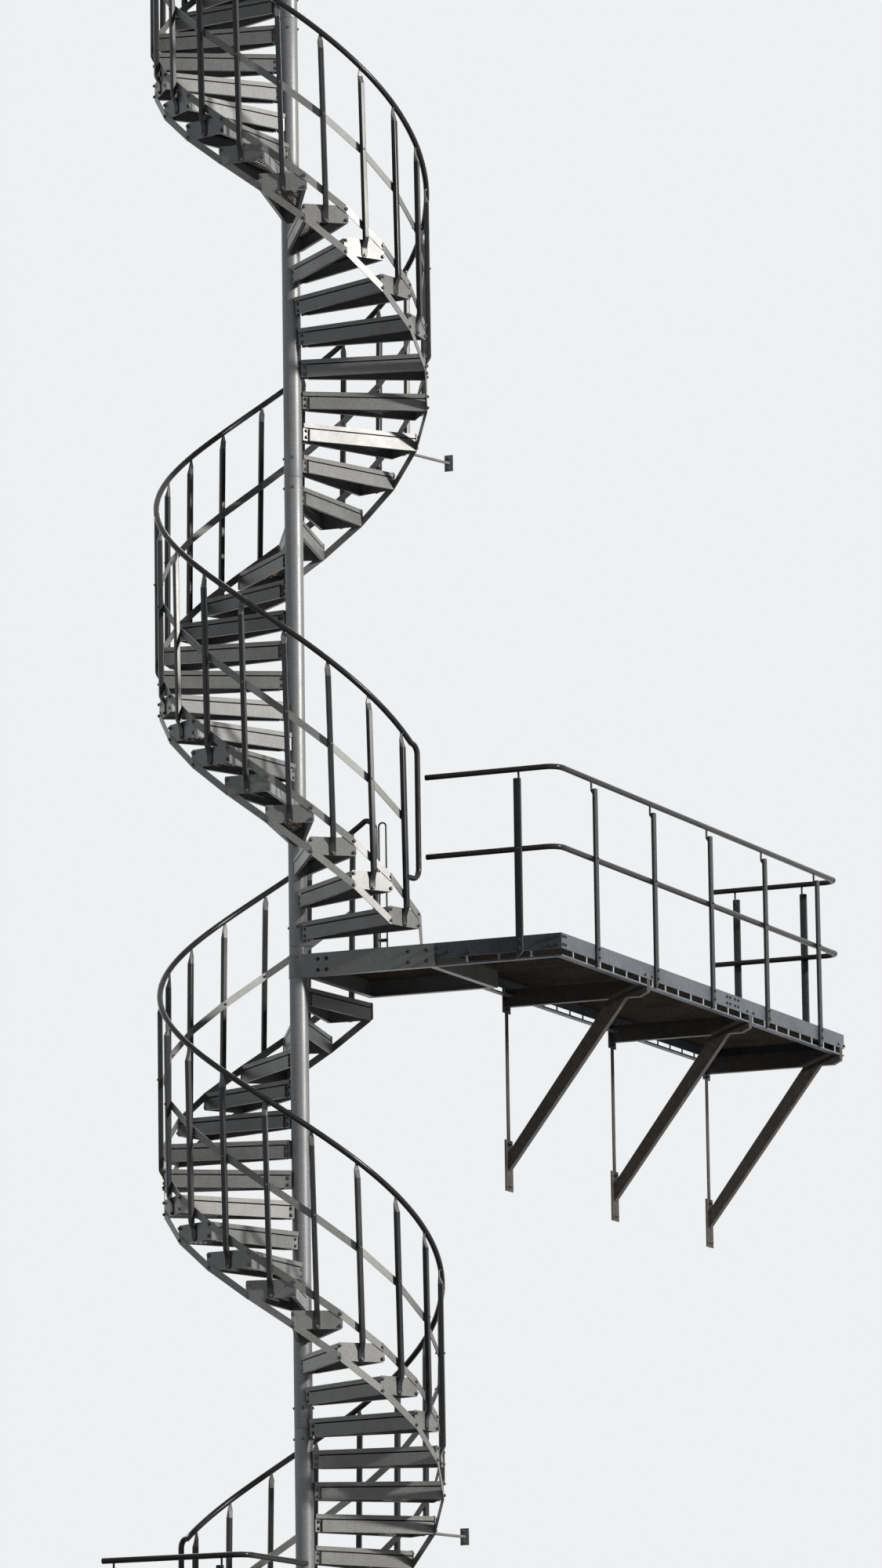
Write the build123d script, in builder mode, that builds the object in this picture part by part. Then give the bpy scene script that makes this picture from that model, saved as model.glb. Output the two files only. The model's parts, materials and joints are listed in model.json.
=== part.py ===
from build123d import *
import math
import os

os.makedirs("parts", exist_ok=True)

# Model frame, in millimetres: the column's axis is Z, the underside of the base plate is z = 0.
# +X is the outward normal of the wall that carries the walkway, and +Y runs along that wall.
# Angles are in degrees, counted anticlockwise from +X seen from above. The stair climbs clockwise.

# Column
COLUMN_DIAMETER = 121.0
COLUMN_WALL = 6.0
COLUMN_RADIUS = COLUMN_DIAMETER / 2
SECTION_LENGTH = 3130.0
SPLICE_ABOVE_LANDING = 52.0
COLUMN_ABOVE_TOP = 1150.0
SLEEVE_WALL = 4.0
CAP_THICKNESS = 6.0
CAP_TAPER = 30.0

# Base plate
BASE_SIZE = 400.0
BASE_THICKNESS = 20.0
BASE_BOLT_SPACING = 300.0
BASE_BOLT_DIAMETER = 22.0

# Flights: the lower one has 19 treads to the turn, the upper one 20
LOWER_STEP = 360.0 / 19
UPPER_STEP = 360.0 / 20
RISE_LOWER = 201.5
RISE_UPPER = 209.0
LOWER_TREADS = 24
UPPER_TREADS = 35
UPPER_START = -14.3
LOWER_END = 92.3
EXIT_LEVEL = RISE_LOWER
MIDDLE_LEVEL = EXIT_LEVEL + RISE_LOWER * (LOWER_TREADS + 1)
TOP_LEVEL = MIDDLE_LEVEL + RISE_UPPER * (UPPER_TREADS + 1)

# Tread: a grating tray on a folded skirt, closed by an upright end plate
TREAD_RADIUS = 880.0
PLATE_THICKNESS = 5.0
PLATE_HEIGHT = 118.0
PLATE_ABOVE_TREAD = 4.0
PLATE_MARGIN = 17.0
HOLE_ROW_TOP = -17.0
HOLE_ROW_LOW = -92.0
TRAY_DEPTH = 28.0
GROOVE_HEIGHT = 9.0
GROOVE_INSET = 9.0
SKIRT_BOTTOM = -114.0
SKIRT_WALL = 5.0
SKIRT_START = 104.0
WIDTH_AT_COLUMN = 44.0
LUG_THICKNESS = 8.0

# Balusters, bands and rails
POST_DIAMETER = 35.0
POST_RADIUS = 903.0
POST_SIDES = 8
POST_LEAN = 1.2
POST_HEIGHT = 1236.0
FOOT_WIDTH = 28.0
FOOT_THICKNESS = 8.0
FOOT_TIP = 24.0
FOOT_FLAT = 40.0
FOOT_TAPER = 45.0
HEAD_FLAT = 62.0
HEAD_TAPER = 18.0
HEAD_WIDTH = 28.0
BAND_WIDTH = 45.0
BAND_THICKNESS = 5.0
BAND_GAP = 1.2
MIDRAIL_SHARE = 0.565
MIDRAIL_TURN = 0.93
RAIL_DIAMETER = 38.0
RAIL_SIDES = 10
RAIL_STEP = 10.0
RAIL_GAP = 1.0
RAIL_JOINT = 4.0
LOOP_RADIUS = 70.0
LOOP_START = 6.0
LOOP_ABOVE_TREAD = 207.0
LOOP_ABOVE_LANDING = 60.0
STRIP_WIDTH = 34.0

# Landings and walkway
LANDING_SIZE = 985.0
LANDING_EDGE = 50.0
LANDING_SIDE = 64.0
CHANNEL_HEIGHT = 152.0
CHANNEL_WEB = 6.0
CHANNEL_FLANGE = 45.0
GRATING_DEPTH = 30.0
GRATING_GAP = 3.0
PANEL_COUNT = 4
OPENINGS_ALONG_BARS = 4
OPENINGS_ACROSS_BARS = 10
OPENING_SHARE = 0.82
OPENING_LENGTH_SHARE = 0.94
WALL_X = 855.0
WALL_Y = 1193.0
WALL_GAP = 20.0
WALKWAY_OUTER = 1877.0
WALKWAY_END = 5045.0
SIDE_PLATE_HEIGHT = 100.0
SIDE_STRIP = 10.0
PEG_SPACING = 225.0
PEG_WIDTH = 14.0
GUARD_HEIGHT = 1090.0
LOWER_RAIL_HEIGHT = 568.0
RAIL_INSET = 17.0
RAIL_START = 935.0
RAIL_BEND = 90.0
RAIL_WALL_GAP = 40.0
STANCHION_WIDTH = 50.0
STANCHION_DEPTH = 20.0
PIN_DIAMETER = 14.0
PIN_LENGTH = 42.0
SCREW_WIDTH = 16.0
SCREW_LENGTH = 15.0
EXIT_STANCHIONS = (-888.0, -131.0)
TOP_STANCHION_X = 520.0
TOP_STANCHION_Y = (250.0, 850.0)
STANCHION_FIRST = 530.0
STANCHION_SPACING = 1008.0
STANCHION_COUNT = 5
STANCHION_NEAR = 1590.0
STANCHION_RETURN = (1088.0, 1594.0)

# Wall brackets and ties
BRACKET_Y = (1416.0, 3245.0, 4985.0)
ARM_DEPTH = 115.0
ARM_WIDTH = 50.0
ARM_SLOT = 2.0
STRUT_DEPTH = 80.0
STRUT_REACH = 780.0
STRUT_FOOT = 1272.0
BRACKET_PLATE = (8.0, 120.0, 340.0)
BRACKET_HOLE = 14.0
WALL_BAR = (8.0, 40.0)
TIE_PLATE = (60.0, 8.0, 110.0)
TIE_HOLE_SPACING = 70.0
TIE_HOLE = 12.0
TIE_ROD = 20.0
UPPER_TIE_TREAD = 17
LOWER_TIE_TREAD = 18
TIE_WALL_X = 600.0

HAIRPIN_X = (152.0, 204.0)
HAIRPIN_Y = 962.0
HAIRPIN_HEIGHT = 1015.0
HAIRPIN_ROD = 12.0
HAIRPIN_TIE = 225.0


def save(builder, name):
    """Label a finished piece and write its file."""
    builder.part.label = name
    export_step(builder.part, "parts/" + name + ".step")


def turned(angle, level):
    """Plane of a tread: X points out along the tread, Z is up from the tread's top."""
    a = math.radians(angle)
    return Plane(origin=(0, 0, level), x_dir=(math.cos(a), math.sin(a), 0), z_dir=(0, 0, 1))


def on_circle(radius, angle, z):
    """Point at a radius, an angle and a height."""
    a = math.radians(angle)
    return (radius * math.cos(a), radius * math.sin(a), z)


def half_width(radius, step):
    """Half the side of the many-sided ring that a flight's plates make at a radius."""
    return radius * math.tan(math.radians(step / 2))


def upper_places():
    """Angle and level of each tread of the upper flight, from the middle landing up."""
    return [(UPPER_START - UPPER_STEP * i, MIDDLE_LEVEL + RISE_UPPER * (i + 1)) for i in range(UPPER_TREADS)]


def lower_places():
    """Angle and level of each tread of the lower flight, from the exit landing up."""
    downwards = [(LOWER_END + LOWER_STEP * i, MIDDLE_LEVEL - RISE_LOWER * (i + 1)) for i in range(LOWER_TREADS)]
    return downwards[::-1]


def wedge(start, end, inset, step):
    """Outline of a tread seen from above, between two distances from the column."""
    widest = half_width(TREAD_RADIUS, step) + PLATE_MARGIN - 6
    slope = (widest - WIDTH_AT_COLUMN) / (TREAD_RADIUS - COLUMN_RADIUS)
    near = WIDTH_AT_COLUMN + slope * (start - COLUMN_RADIUS) - inset
    far = WIDTH_AT_COLUMN + slope * (end - COLUMN_RADIUS) - inset
    with BuildLine() as outline:
        Polyline((start, -near), (end, -far), (end, far), (start, near), close=True)
    make_face(outline.edges())


# Base plate with four anchor holes
with BuildPart() as base_plate:
    with BuildSketch():
        Rectangle(BASE_SIZE, BASE_SIZE)
        with GridLocations(BASE_BOLT_SPACING, BASE_BOLT_SPACING, 2, 2):
            Circle(BASE_BOLT_DIAMETER / 2, mode=Mode.SUBTRACT)
    extrude(amount=BASE_THICKNESS)
save(base_plate, "base_plate")

# Column in equal lengths, joined on a sleeve inside it
first_splice = MIDDLE_LEVEL + SPLICE_ABOVE_LANDING - SECTION_LENGTH
COLUMN_TOP = TOP_LEVEL + COLUMN_ABOVE_TOP
column_ends = [BASE_THICKNESS] + [first_splice + SECTION_LENGTH * i for i in range(4)] + [COLUMN_TOP]
for index in range(len(column_ends) - 1):
    low = column_ends[index]
    high = column_ends[index + 1]
    with BuildPart() as column:
        with BuildSketch(Plane.XY.offset(low)):
            Circle(COLUMN_RADIUS)
            Circle(COLUMN_RADIUS - COLUMN_WALL, mode=Mode.SUBTRACT)
        extrude(amount=high - low)
    save(column, "column_" + str(index + 1))

# Cap on the column
with BuildPart() as column_cap:
    with BuildSketch(Plane.XY.offset(COLUMN_TOP)):
        Circle(COLUMN_RADIUS)
    extrude(amount=CAP_THICKNESS, taper=CAP_TAPER)
save(column_cap, "column_cap")


def make_tread(step):
    """One tread in its own frame, X outwards from the column and Z = 0 on the walking surface."""
    inner_face = TREAD_RADIUS - PLATE_THICKNESS
    groove_floor = -TRAY_DEPTH - GROOVE_HEIGHT
    with BuildPart() as tread:
        with BuildSketch(Plane.XY.offset(-TRAY_DEPTH)):
            wedge(COLUMN_RADIUS - 5, inner_face, 0, step)
        extrude(amount=TRAY_DEPTH)
        with BuildSketch(Plane.XY.offset(groove_floor)):
            wedge(SKIRT_START, inner_face, GROOVE_INSET, step)
        extrude(amount=GROOVE_HEIGHT)
        with BuildSketch(Plane.XY.offset(SKIRT_BOTTOM)):
            wedge(SKIRT_START, inner_face, 0, step)
        extrude(amount=groove_floor - SKIRT_BOTTOM)
        with BuildSketch(Plane.XY.offset(SKIRT_BOTTOM)):
            wedge(SKIRT_START + SKIRT_WALL, inner_face, GROOVE_INSET + SKIRT_WALL, step)
        extrude(amount=-TRAY_DEPTH - SKIRT_BOTTOM, mode=Mode.SUBTRACT)
        with BuildSketch(Plane.YZ.offset(inner_face)):
            with Locations((0, PLATE_ABOVE_TREAD - PLATE_HEIGHT / 2)):
                Rectangle(2 * (half_width(TREAD_RADIUS, step) + PLATE_MARGIN), PLATE_HEIGHT)
        extrude(amount=PLATE_THICKNESS)
        with BuildSketch(Plane.XZ.offset(-LUG_THICKNESS / 2)):
            with BuildLine():
                Polyline(
                    (COLUMN_RADIUS - 5, -TRAY_DEPTH),
                    (SKIRT_START, -TRAY_DEPTH),
                    (SKIRT_START, SKIRT_BOTTOM),
                    (COLUMN_RADIUS - 5, SKIRT_BOTTOM),
                    close=True,
                )
            make_face()
        extrude(amount=LUG_THICKNESS)
        with BuildSketch(Plane.XY.offset(SKIRT_BOTTOM)):
            Circle(COLUMN_RADIUS)
        extrude(amount=-SKIRT_BOTTOM, mode=Mode.SUBTRACT)
    return tread.part


# One baluster: a tube flattened at its foot for the bolt and at its head for the rail
body_low = FOOT_FLAT + FOOT_TAPER
body_high = POST_HEIGHT - HEAD_FLAT - HEAD_TAPER
with BuildPart() as post:
    with BuildSketch(Plane.XY.offset(body_low)):
        with Locations((POST_RADIUS, 0)):
            RegularPolygon(POST_DIAMETER / 2, POST_SIDES)
    extrude(amount=body_high - body_low)
    with BuildSketch(Plane.XZ.offset(-FOOT_WIDTH / 2)):
        with BuildLine():
            Polyline(
                (TREAD_RADIUS, -FOOT_TIP),
                (TREAD_RADIUS + FOOT_THICKNESS, -FOOT_TIP),
                (TREAD_RADIUS + FOOT_THICKNESS, FOOT_FLAT),
                (POST_RADIUS + POST_DIAMETER / 2 - 3, body_low),
                (POST_RADIUS - POST_DIAMETER / 2 + 1, body_low),
                (TREAD_RADIUS, FOOT_FLAT),
                close=True,
            )
        make_face()
    extrude(amount=FOOT_WIDTH)
    with BuildSketch(Plane.XZ.offset(-HEAD_WIDTH / 2)):
        with BuildLine():
            Polyline(
                (POST_RADIUS - POST_DIAMETER / 2 + 1, body_high),
                (POST_RADIUS + POST_DIAMETER / 2 - 1, body_high),
                (POST_RADIUS + FOOT_THICKNESS / 2, body_high + HEAD_TAPER),
                (POST_RADIUS + FOOT_THICKNESS / 2, POST_HEIGHT),
                (POST_RADIUS - FOOT_THICKNESS / 2, POST_HEIGHT),
                (POST_RADIUS - FOOT_THICKNESS / 2, body_high + HEAD_TAPER),
                close=True,
            )
        make_face()
    extrude(amount=HEAD_WIDTH)


def flight_treads(places, step):
    """All treads of a flight, each a solid of its own."""
    tread = make_tread(step)
    with BuildPart() as flight:
        add([turned(angle, level).from_local_coords(tread) for angle, level in places])
    return flight


def flight_posts(places):
    """All balusters of a flight, leaning uphill a little, each a solid of its own."""
    leaning = post.part.rotate(Axis.X, POST_LEAN)
    with BuildPart() as flight:
        add([turned(angle, level + HOLE_ROW_LOW).from_local_coords(leaning) for angle, level in places])
    return flight


def slanted_bar(radius, half, drop):
    """Flat bar across one side of the ring, its uphill end higher by the drop."""
    rise = BAND_WIDTH / 2 * math.hypot(1, drop / (2 * half))
    with BuildPart() as bar:
        with BuildSketch(Plane.YZ.offset(radius)):
            with BuildLine():
                Polyline((-half, drop - rise), (half, -rise), (half, rise), (-half, drop + rise), close=True)
            make_face()
        extrude(amount=BAND_THICKNESS)
    return bar.part


def landing_strip(radius, half, height):
    """Short strip that brings a band's last end down to the landing below it."""
    foot = -half + STRIP_WIDTH * 2.2
    with BuildPart() as strip:
        with BuildSketch(Plane.YZ.offset(radius)):
            with BuildLine():
                Polyline(
                    (-half, height + BAND_WIDTH * 0.6),
                    (-half, height - BAND_WIDTH * 0.6),
                    (foot - STRIP_WIDTH, 0),
                    (foot, 0),
                    (foot - STRIP_WIDTH * 0.6, height),
                    close=True,
                )
            make_face()
        extrude(amount=BAND_THICKNESS)
    return strip.part


def flight_bars(spans, radius, step, extra=None):
    """Flat bars, one for each pitch: frame angle, height at the uphill end, height at the downhill end."""
    half = half_width(radius, step) - BAND_GAP / 2
    bar = slanted_bar(radius, half, spans[0][1] - spans[0][2])
    with BuildPart() as bars:
        add([turned(angle, low).from_local_coords(bar) for angle, high, low in spans])
        if extra:
            add(extra)
    return bars


def rail_tube(points, diameter):
    """Tube carried along a line of points, with mitred corners."""
    with BuildLine() as path:
        Polyline(*points)
    with BuildSketch(Plane(origin=path.line @ 0, z_dir=path.line % 0)) as section:
        RegularPolygon(diameter / 2, RAIL_SIDES)
    sweep(section.sketch, path=path.line, transition=Transition.RIGHT)


def bend(corner, before, after, radius, steps):
    """Points of a quarter bend at a corner between two unit directions at a right angle."""
    points = []
    for i in range(steps + 1):
        a = math.radians(90.0 * i / steps)
        back = radius * (1 - math.sin(a))
        ahead = radius * (1 - math.cos(a))
        points.append(tuple(corner[k] - before[k] * back + after[k] * ahead for k in range(3)))
    return points


def flight_handrail(places, rise, step):
    """Helical handrail in lengths of about one pitch, turned down in a loop at both ends."""
    downhill, low_level = places[0]
    uphill, high_level = places[-1]
    lean = math.degrees(math.tan(math.radians(POST_LEAN)) * POST_HEIGHT / POST_RADIUS)
    centre = HOLE_ROW_LOW + POST_HEIGHT + RAIL_DIAMETER / 2

    def height(angle):
        return low_level + centre + (downhill - lean - angle) / step * rise

    def helix(start, end):
        steps = max(1, round(abs(end - start) / RAIL_STEP))
        angles = [start + (end - start) * i / steps for i in range(steps + 1)]
        return [on_circle(POST_RADIUS, a, height(a)) for a in angles]

    def end_loop(angle, sign, bottom):
        """Bend down beside the first or last baluster and back to it."""
        a = math.radians(angle)
        along = (-math.sin(a) * sign, math.cos(a) * sign, 0)
        back = (-along[0], -along[1], 0)
        down = (0, 0, -1)
        top = on_circle(POST_RADIUS, angle, height(angle))
        corner = tuple(top[k] + along[k] * LOOP_RADIUS for k in range(3))
        low_corner = (corner[0], corner[1], bottom)
        points = bend(corner, along, down, LOOP_RADIUS, 4) + bend(low_corner, down, back, LOOP_RADIUS, 4)
        past_post = math.radians(LOOP_START) * POST_RADIUS - POST_DIAMETER / 2
        reach = LOOP_RADIUS + past_post - 1
        points.append(tuple(low_corner[k] + back[k] * reach for k in range(3)))
        return points

    with BuildPart() as rail:
        start = downhill - lean + LOOP_START
        stop = uphill - lean - LOOP_START
        count = round((start - stop) / step)
        gap = math.degrees(RAIL_JOINT / POST_RADIUS)
        for i in range(count):
            a = start + (stop - start) * i / count
            b = start + (stop - start) * (i + 1) / count + (gap if i < count - 1 else 0)
            points = helix(a, b)
            if i == 0:
                points = end_loop(a, 1, low_level + LOOP_ABOVE_TREAD)[::-1][:-1] + points
            if i == count - 1:
                points = points[:-1] + end_loop(b, -1, high_level + rise + LOOP_ABOVE_LANDING)
            rail_tube(points, RAIL_DIAMETER)
    return rail


def write_flight(places, rise, step, name):
    """Build and write every piece of one flight, its places given from the lowest tread up."""
    save(flight_treads(places, step), name + "_treads")
    save(flight_posts(places), name + "_balusters")
    first_angle, first_level = places[0]
    half = half_width(TREAD_RADIUS, step) - BAND_GAP / 2
    strip = landing_strip(TREAD_RADIUS, half, rise + HOLE_ROW_TOP)
    placed = turned(first_angle + step, first_level - rise).from_local_coords(strip)
    upper = [(a, z + rise + HOLE_ROW_TOP, z + HOLE_ROW_TOP) for a, z in places[:-1]]
    save(flight_bars(upper, TREAD_RADIUS, step, placed), name + "_upper_band")
    lower = [(a, z + HOLE_ROW_LOW, z - rise + HOLE_ROW_LOW) for a, z in places[1:]]
    save(flight_bars(lower, TREAD_RADIUS, step), name + "_lower_band")
    middle = HOLE_ROW_LOW + POST_HEIGHT * MIDRAIL_SHARE
    seat = (POST_RADIUS - POST_DIAMETER / 2) * math.cos(math.radians(step / 2)) - BAND_THICKNESS - 0.5
    between = [(a - step / 2 - MIDRAIL_TURN, z + rise + middle, z + middle) for a, z in places[:-1]]
    save(flight_bars(between, seat, step), name + "_mid_rail")
    save(flight_handrail(places, rise, step), name + "_handrail")


write_flight(lower_places(), RISE_LOWER, LOWER_STEP, "lower_flight")
write_flight(upper_places(), RISE_UPPER, UPPER_STEP, "upper_flight")


def channel(start, end, top, inward):
    """Channel on edge between two corners, its web outside and its flanges turned inwards."""
    dx = end[0] - start[0]
    dy = end[1] - start[1]
    length = math.hypot(dx, dy)
    along = (dx / length, dy / length, 0)
    face = Plane(origin=(start[0], start[1], top), x_dir=(inward[0], inward[1], 0), z_dir=along)
    side = 1 if face.y_dir.Z > 0 else -1
    with BuildSketch(face) as section:
        with BuildLine():
            Polyline(
                (0, 0),
                (CHANNEL_FLANGE, 0),
                (CHANNEL_FLANGE, -CHANNEL_WEB * side),
                (CHANNEL_WEB, -CHANNEL_WEB * side),
                (CHANNEL_WEB, (CHANNEL_WEB - CHANNEL_HEIGHT) * side),
                (CHANNEL_FLANGE, (CHANNEL_WEB - CHANNEL_HEIGHT) * side),
                (CHANNEL_FLANGE, -CHANNEL_HEIGHT * side),
                (0, -CHANNEL_HEIGHT * side),
                close=True,
            )
        make_face()
    extrude(section.sketch, amount=length)


def landing_frame(quadrant, level, near, side, far_x, far_y):
    """Landing frame in one quadrant: near edge along X, side edge along Y, both passing the column."""
    sx, sy = quadrant
    start = COLUMN_RADIUS * 0.6
    with BuildPart() as frame:
        channel((sx * start, near), (far_x, near), level, (0, sy))
        channel((side, sy * start), (side, far_y), level, (sx, 0))
        channel((far_x, near), (far_x, far_y), level, (-sx, 0))
        channel((side, far_y), (far_x, far_y), level, (0, -sy))
        with BuildSketch(Plane.XY.offset(level - CHANNEL_HEIGHT)):
            Circle(COLUMN_RADIUS + SLEEVE_WALL)
        extrude(amount=CHANNEL_HEIGHT)
        with BuildSketch(Plane.XY.offset(level - CHANNEL_HEIGHT)):
            Circle(COLUMN_RADIUS)
        extrude(amount=CHANNEL_HEIGHT, mode=Mode.SUBTRACT)
    return frame


def landing_deck(quadrant, level, near, side, far_x, far_y):
    """Grating panel that lies inside the landing frame's channels, cut clear of the column."""
    sx, sy = quadrant
    inner = CHANNEL_WEB + GRATING_GAP
    x0 = side + sx * inner
    x1 = far_x - sx * inner
    y0 = near + sy * inner
    y1 = far_y - sy * inner
    with BuildPart() as deck:
        with BuildSketch(Plane.XY.offset(level - CHANNEL_WEB - GRATING_DEPTH - 1)):
            with BuildLine():
                Polyline((x0, y0), (x1, y0), (x1, y1), (x0, y1), close=True)
            make_face()
            Circle(COLUMN_RADIUS + SLEEVE_WALL + 6, mode=Mode.SUBTRACT)
        extrude(amount=GRATING_DEPTH)
    return deck


EXIT_EDGES = ((-1, -1), EXIT_LEVEL, LANDING_EDGE, LANDING_EDGE, -LANDING_SIZE, -LANDING_SIZE)
MIDDLE_EDGES = ((1, 1), MIDDLE_LEVEL, -LANDING_EDGE, LANDING_SIDE, LANDING_SIZE, LANDING_SIZE)
TOP_EDGES = ((1, 1), TOP_LEVEL, -LANDING_EDGE, LANDING_SIDE, LANDING_SIZE, WALL_Y - WALL_GAP)
for name, edges in (("exit", EXIT_EDGES), ("middle", MIDDLE_EDGES), ("top", TOP_EDGES)):
    save(landing_frame(*edges), name + "_landing_frame")
    save(landing_deck(*edges), name + "_landing_deck")

def side_plate(start, end, inward):
    """Walkway side: a plate with a top flange, and under its slot a flanged strip hung on pegs."""
    dx = end[0] - start[0]
    dy = end[1] - start[1]
    length = math.hypot(dx, dy)
    along = (dx / length, dy / length, 0)
    face = Plane(origin=(start[0], start[1], MIDDLE_LEVEL), x_dir=(inward[0], inward[1], 0), z_dir=along)
    side = 1 if face.y_dir.Z > 0 else -1
    strip_top = SIDE_STRIP - CHANNEL_HEIGHT
    with BuildSketch(face) as section:
        with BuildLine():
            Polyline(
                (0, 0),
                (CHANNEL_FLANGE, 0),
                (CHANNEL_FLANGE, -CHANNEL_WEB * side),
                (CHANNEL_WEB, -CHANNEL_WEB * side),
                (CHANNEL_WEB, -SIDE_PLATE_HEIGHT * side),
                (0, -SIDE_PLATE_HEIGHT * side),
                close=True,
            )
        make_face()
        with BuildLine():
            Polyline(
                (0, strip_top * side),
                (CHANNEL_FLANGE, strip_top * side),
                (CHANNEL_FLANGE, -CHANNEL_HEIGHT * side),
                (0, -CHANNEL_HEIGHT * side),
                close=True,
            )
        make_face()
    extrude(section.sketch, amount=length)
    count = int(length // PEG_SPACING)
    margin = (length - (count - 1) * PEG_SPACING) / 2
    middle = (strip_top - SIDE_PLATE_HEIGHT) / 2
    depth = -SIDE_PLATE_HEIGHT - strip_top
    for i in range(count):
        reach = margin + PEG_SPACING * i
        foot = (start[0] + along[0] * reach, start[1] + along[1] * reach, MIDDLE_LEVEL)
        with BuildSketch(Plane(origin=foot, x_dir=(inward[0], inward[1], 0), z_dir=along)) as peg:
            with Locations((CHANNEL_WEB / 2, middle * side)):
                Rectangle(CHANNEL_WEB, depth + 1)
        extrude(peg.sketch, amount=PEG_WIDTH)


# Walkway side plates, the strips cut where the wall brackets' arms pass
with BuildPart() as walkway_frame:
    side_plate((LANDING_SIZE + 1, -LANDING_EDGE), (WALKWAY_OUTER, -LANDING_EDGE), (0, 1))
    side_plate((WALKWAY_OUTER, -LANDING_EDGE), (WALKWAY_OUTER, WALKWAY_END), (-1, 0))
    side_plate((WALL_X + WALL_GAP, WALKWAY_END), (WALKWAY_OUTER, WALKWAY_END), (0, -1))
    side_plate((WALL_X + WALL_GAP, LANDING_SIZE + 1), (WALL_X + WALL_GAP, WALKWAY_END), (1, 0))
    with BuildSketch(Plane.YZ.offset(WALL_X)) as arm_slots:
        with Locations([(y, MIDDLE_LEVEL - SIDE_PLATE_HEIGHT - ARM_DEPTH / 2) for y in BRACKET_Y]):
            Rectangle(ARM_WIDTH + 2 * ARM_SLOT, ARM_DEPTH)
    extrude(arm_slots.sketch, amount=WALKWAY_OUTER - WALL_X + 1, mode=Mode.SUBTRACT)
save(walkway_frame, "walkway_frame")

def grating_panel(x0, x1, y0, y1, top):
    """Grating panel with a plain grid of openings, its bearing bars along X."""
    pitch_x = (x1 - x0) / OPENINGS_ALONG_BARS
    pitch_y = (y1 - y0) / OPENINGS_ACROSS_BARS
    with BuildSketch(Plane.XY.offset(top - GRATING_DEPTH)) as grid:
        with Locations(((x0 + x1) / 2, (y0 + y1) / 2)):
            Rectangle(x1 - x0, y1 - y0)
            with GridLocations(pitch_x, pitch_y, OPENINGS_ALONG_BARS, OPENINGS_ACROSS_BARS):
                Rectangle(pitch_x * OPENING_LENGTH_SHARE, pitch_y * OPENING_SHARE, mode=Mode.SUBTRACT)
    extrude(grid.sketch, amount=GRATING_DEPTH)


# Walkway grating: one panel beside the stair and a row of panels along the wall
with BuildPart() as walkway_deck:
    panel_top = MIDDLE_LEVEL - CHANNEL_WEB - 1
    inner = CHANNEL_WEB + GRATING_GAP
    outer_x = WALKWAY_OUTER - inner
    grating_panel(LANDING_SIZE + inner, outer_x, inner - LANDING_EDGE, LANDING_SIZE - inner, panel_top)
    pitch = (WALKWAY_END - LANDING_SIZE - inner) / PANEL_COUNT
    for i in range(PANEL_COUNT):
        low = LANDING_SIZE + 1 + i * pitch
        grating_panel(WALL_X + WALL_GAP + inner, outer_x, low, low + pitch - GRATING_GAP, panel_top)
save(walkway_deck, "walkway_deck")


def stanchion(x, y, outward, level):
    """Guard post outside a side plate: a flattened tube, its lower end on a slant, with a pin to the rail."""
    across = (-outward[1], outward[0], 0)
    face = Plane(origin=(x, y, level), x_dir=across, z_dir=(outward[0], outward[1], 0))
    side = 1 if face.y_dir.Z > 0 else -1
    half = STANCHION_WIDTH / 2
    top = GUARD_HEIGHT - PIN_LENGTH
    with BuildSketch(face) as section:
        with BuildLine():
            Polyline(
                (-half, (top - half) * side),
                (0, top * side),
                (half, (top - half) * side),
                (half, (half - CHANNEL_HEIGHT) * side),
                (-half, -CHANNEL_HEIGHT * side),
                close=True,
            )
        make_face()
    extrude(section.sketch, amount=STANCHION_DEPTH)
    foot = (x - outward[0] * (RAIL_INSET - 2), y - outward[1] * (RAIL_INSET - 2), level + top - half)
    with BuildSketch(Plane(origin=foot, z_dir=(0, 0, 1))) as lug:
        Circle(PIN_DIAMETER / 2)
    extrude(lug.sketch, amount=PIN_LENGTH + half)
    with BuildSketch(Plane.XY.offset(level + top - half - PIN_DIAMETER)) as arm:
        reach = RAIL_INSET + PIN_DIAMETER / 2
        with Locations((x - outward[0] * (reach / 2 - 1), y - outward[1] * (reach / 2 - 1))):
            Rectangle(
                reach + 1 if outward[0] else PIN_DIAMETER,
                reach + 1 if outward[1] else PIN_DIAMETER,
            )
    extrude(arm.sketch, amount=PIN_DIAMETER)
    screw_foot = (x + outward[0] * (STANCHION_DEPTH - 1), y + outward[1] * (STANCHION_DEPTH - 1))
    screw_face = Plane(origin=(*screw_foot, level + LOWER_RAIL_HEIGHT), z_dir=(outward[0], outward[1], 0))
    with BuildSketch(screw_face) as screw:
        RegularPolygon(SCREW_WIDTH / 2, 6)
    extrude(screw.sketch, amount=SCREW_LENGTH + 1)


def guard_rail(corners, z):
    """Level rail through plan corners: straight lengths and quarter bends, with hairline gaps between."""
    last = len(corners) - 1
    legs = []
    for i in range(last):
        dx = corners[i + 1][0] - corners[i][0]
        dy = corners[i + 1][1] - corners[i][1]
        length = math.hypot(dx, dy)
        legs.append((dx / length, dy / length, 0))
    for i in range(last):
        start = RAIL_BEND + RAIL_GAP if i > 0 else 0
        end = RAIL_BEND + RAIL_GAP if i < last - 1 else 0
        here = (*corners[i], z)
        there = (*corners[i + 1], z)
        low = tuple(here[k] + legs[i][k] * start for k in range(3))
        high = tuple(there[k] - legs[i][k] * end for k in range(3))
        rail_tube([low, high], RAIL_DIAMETER)
        if i < last - 1:
            rail_tube(bend(there, legs[i], legs[i + 1], RAIL_BEND, 5), RAIL_DIAMETER)


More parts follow.
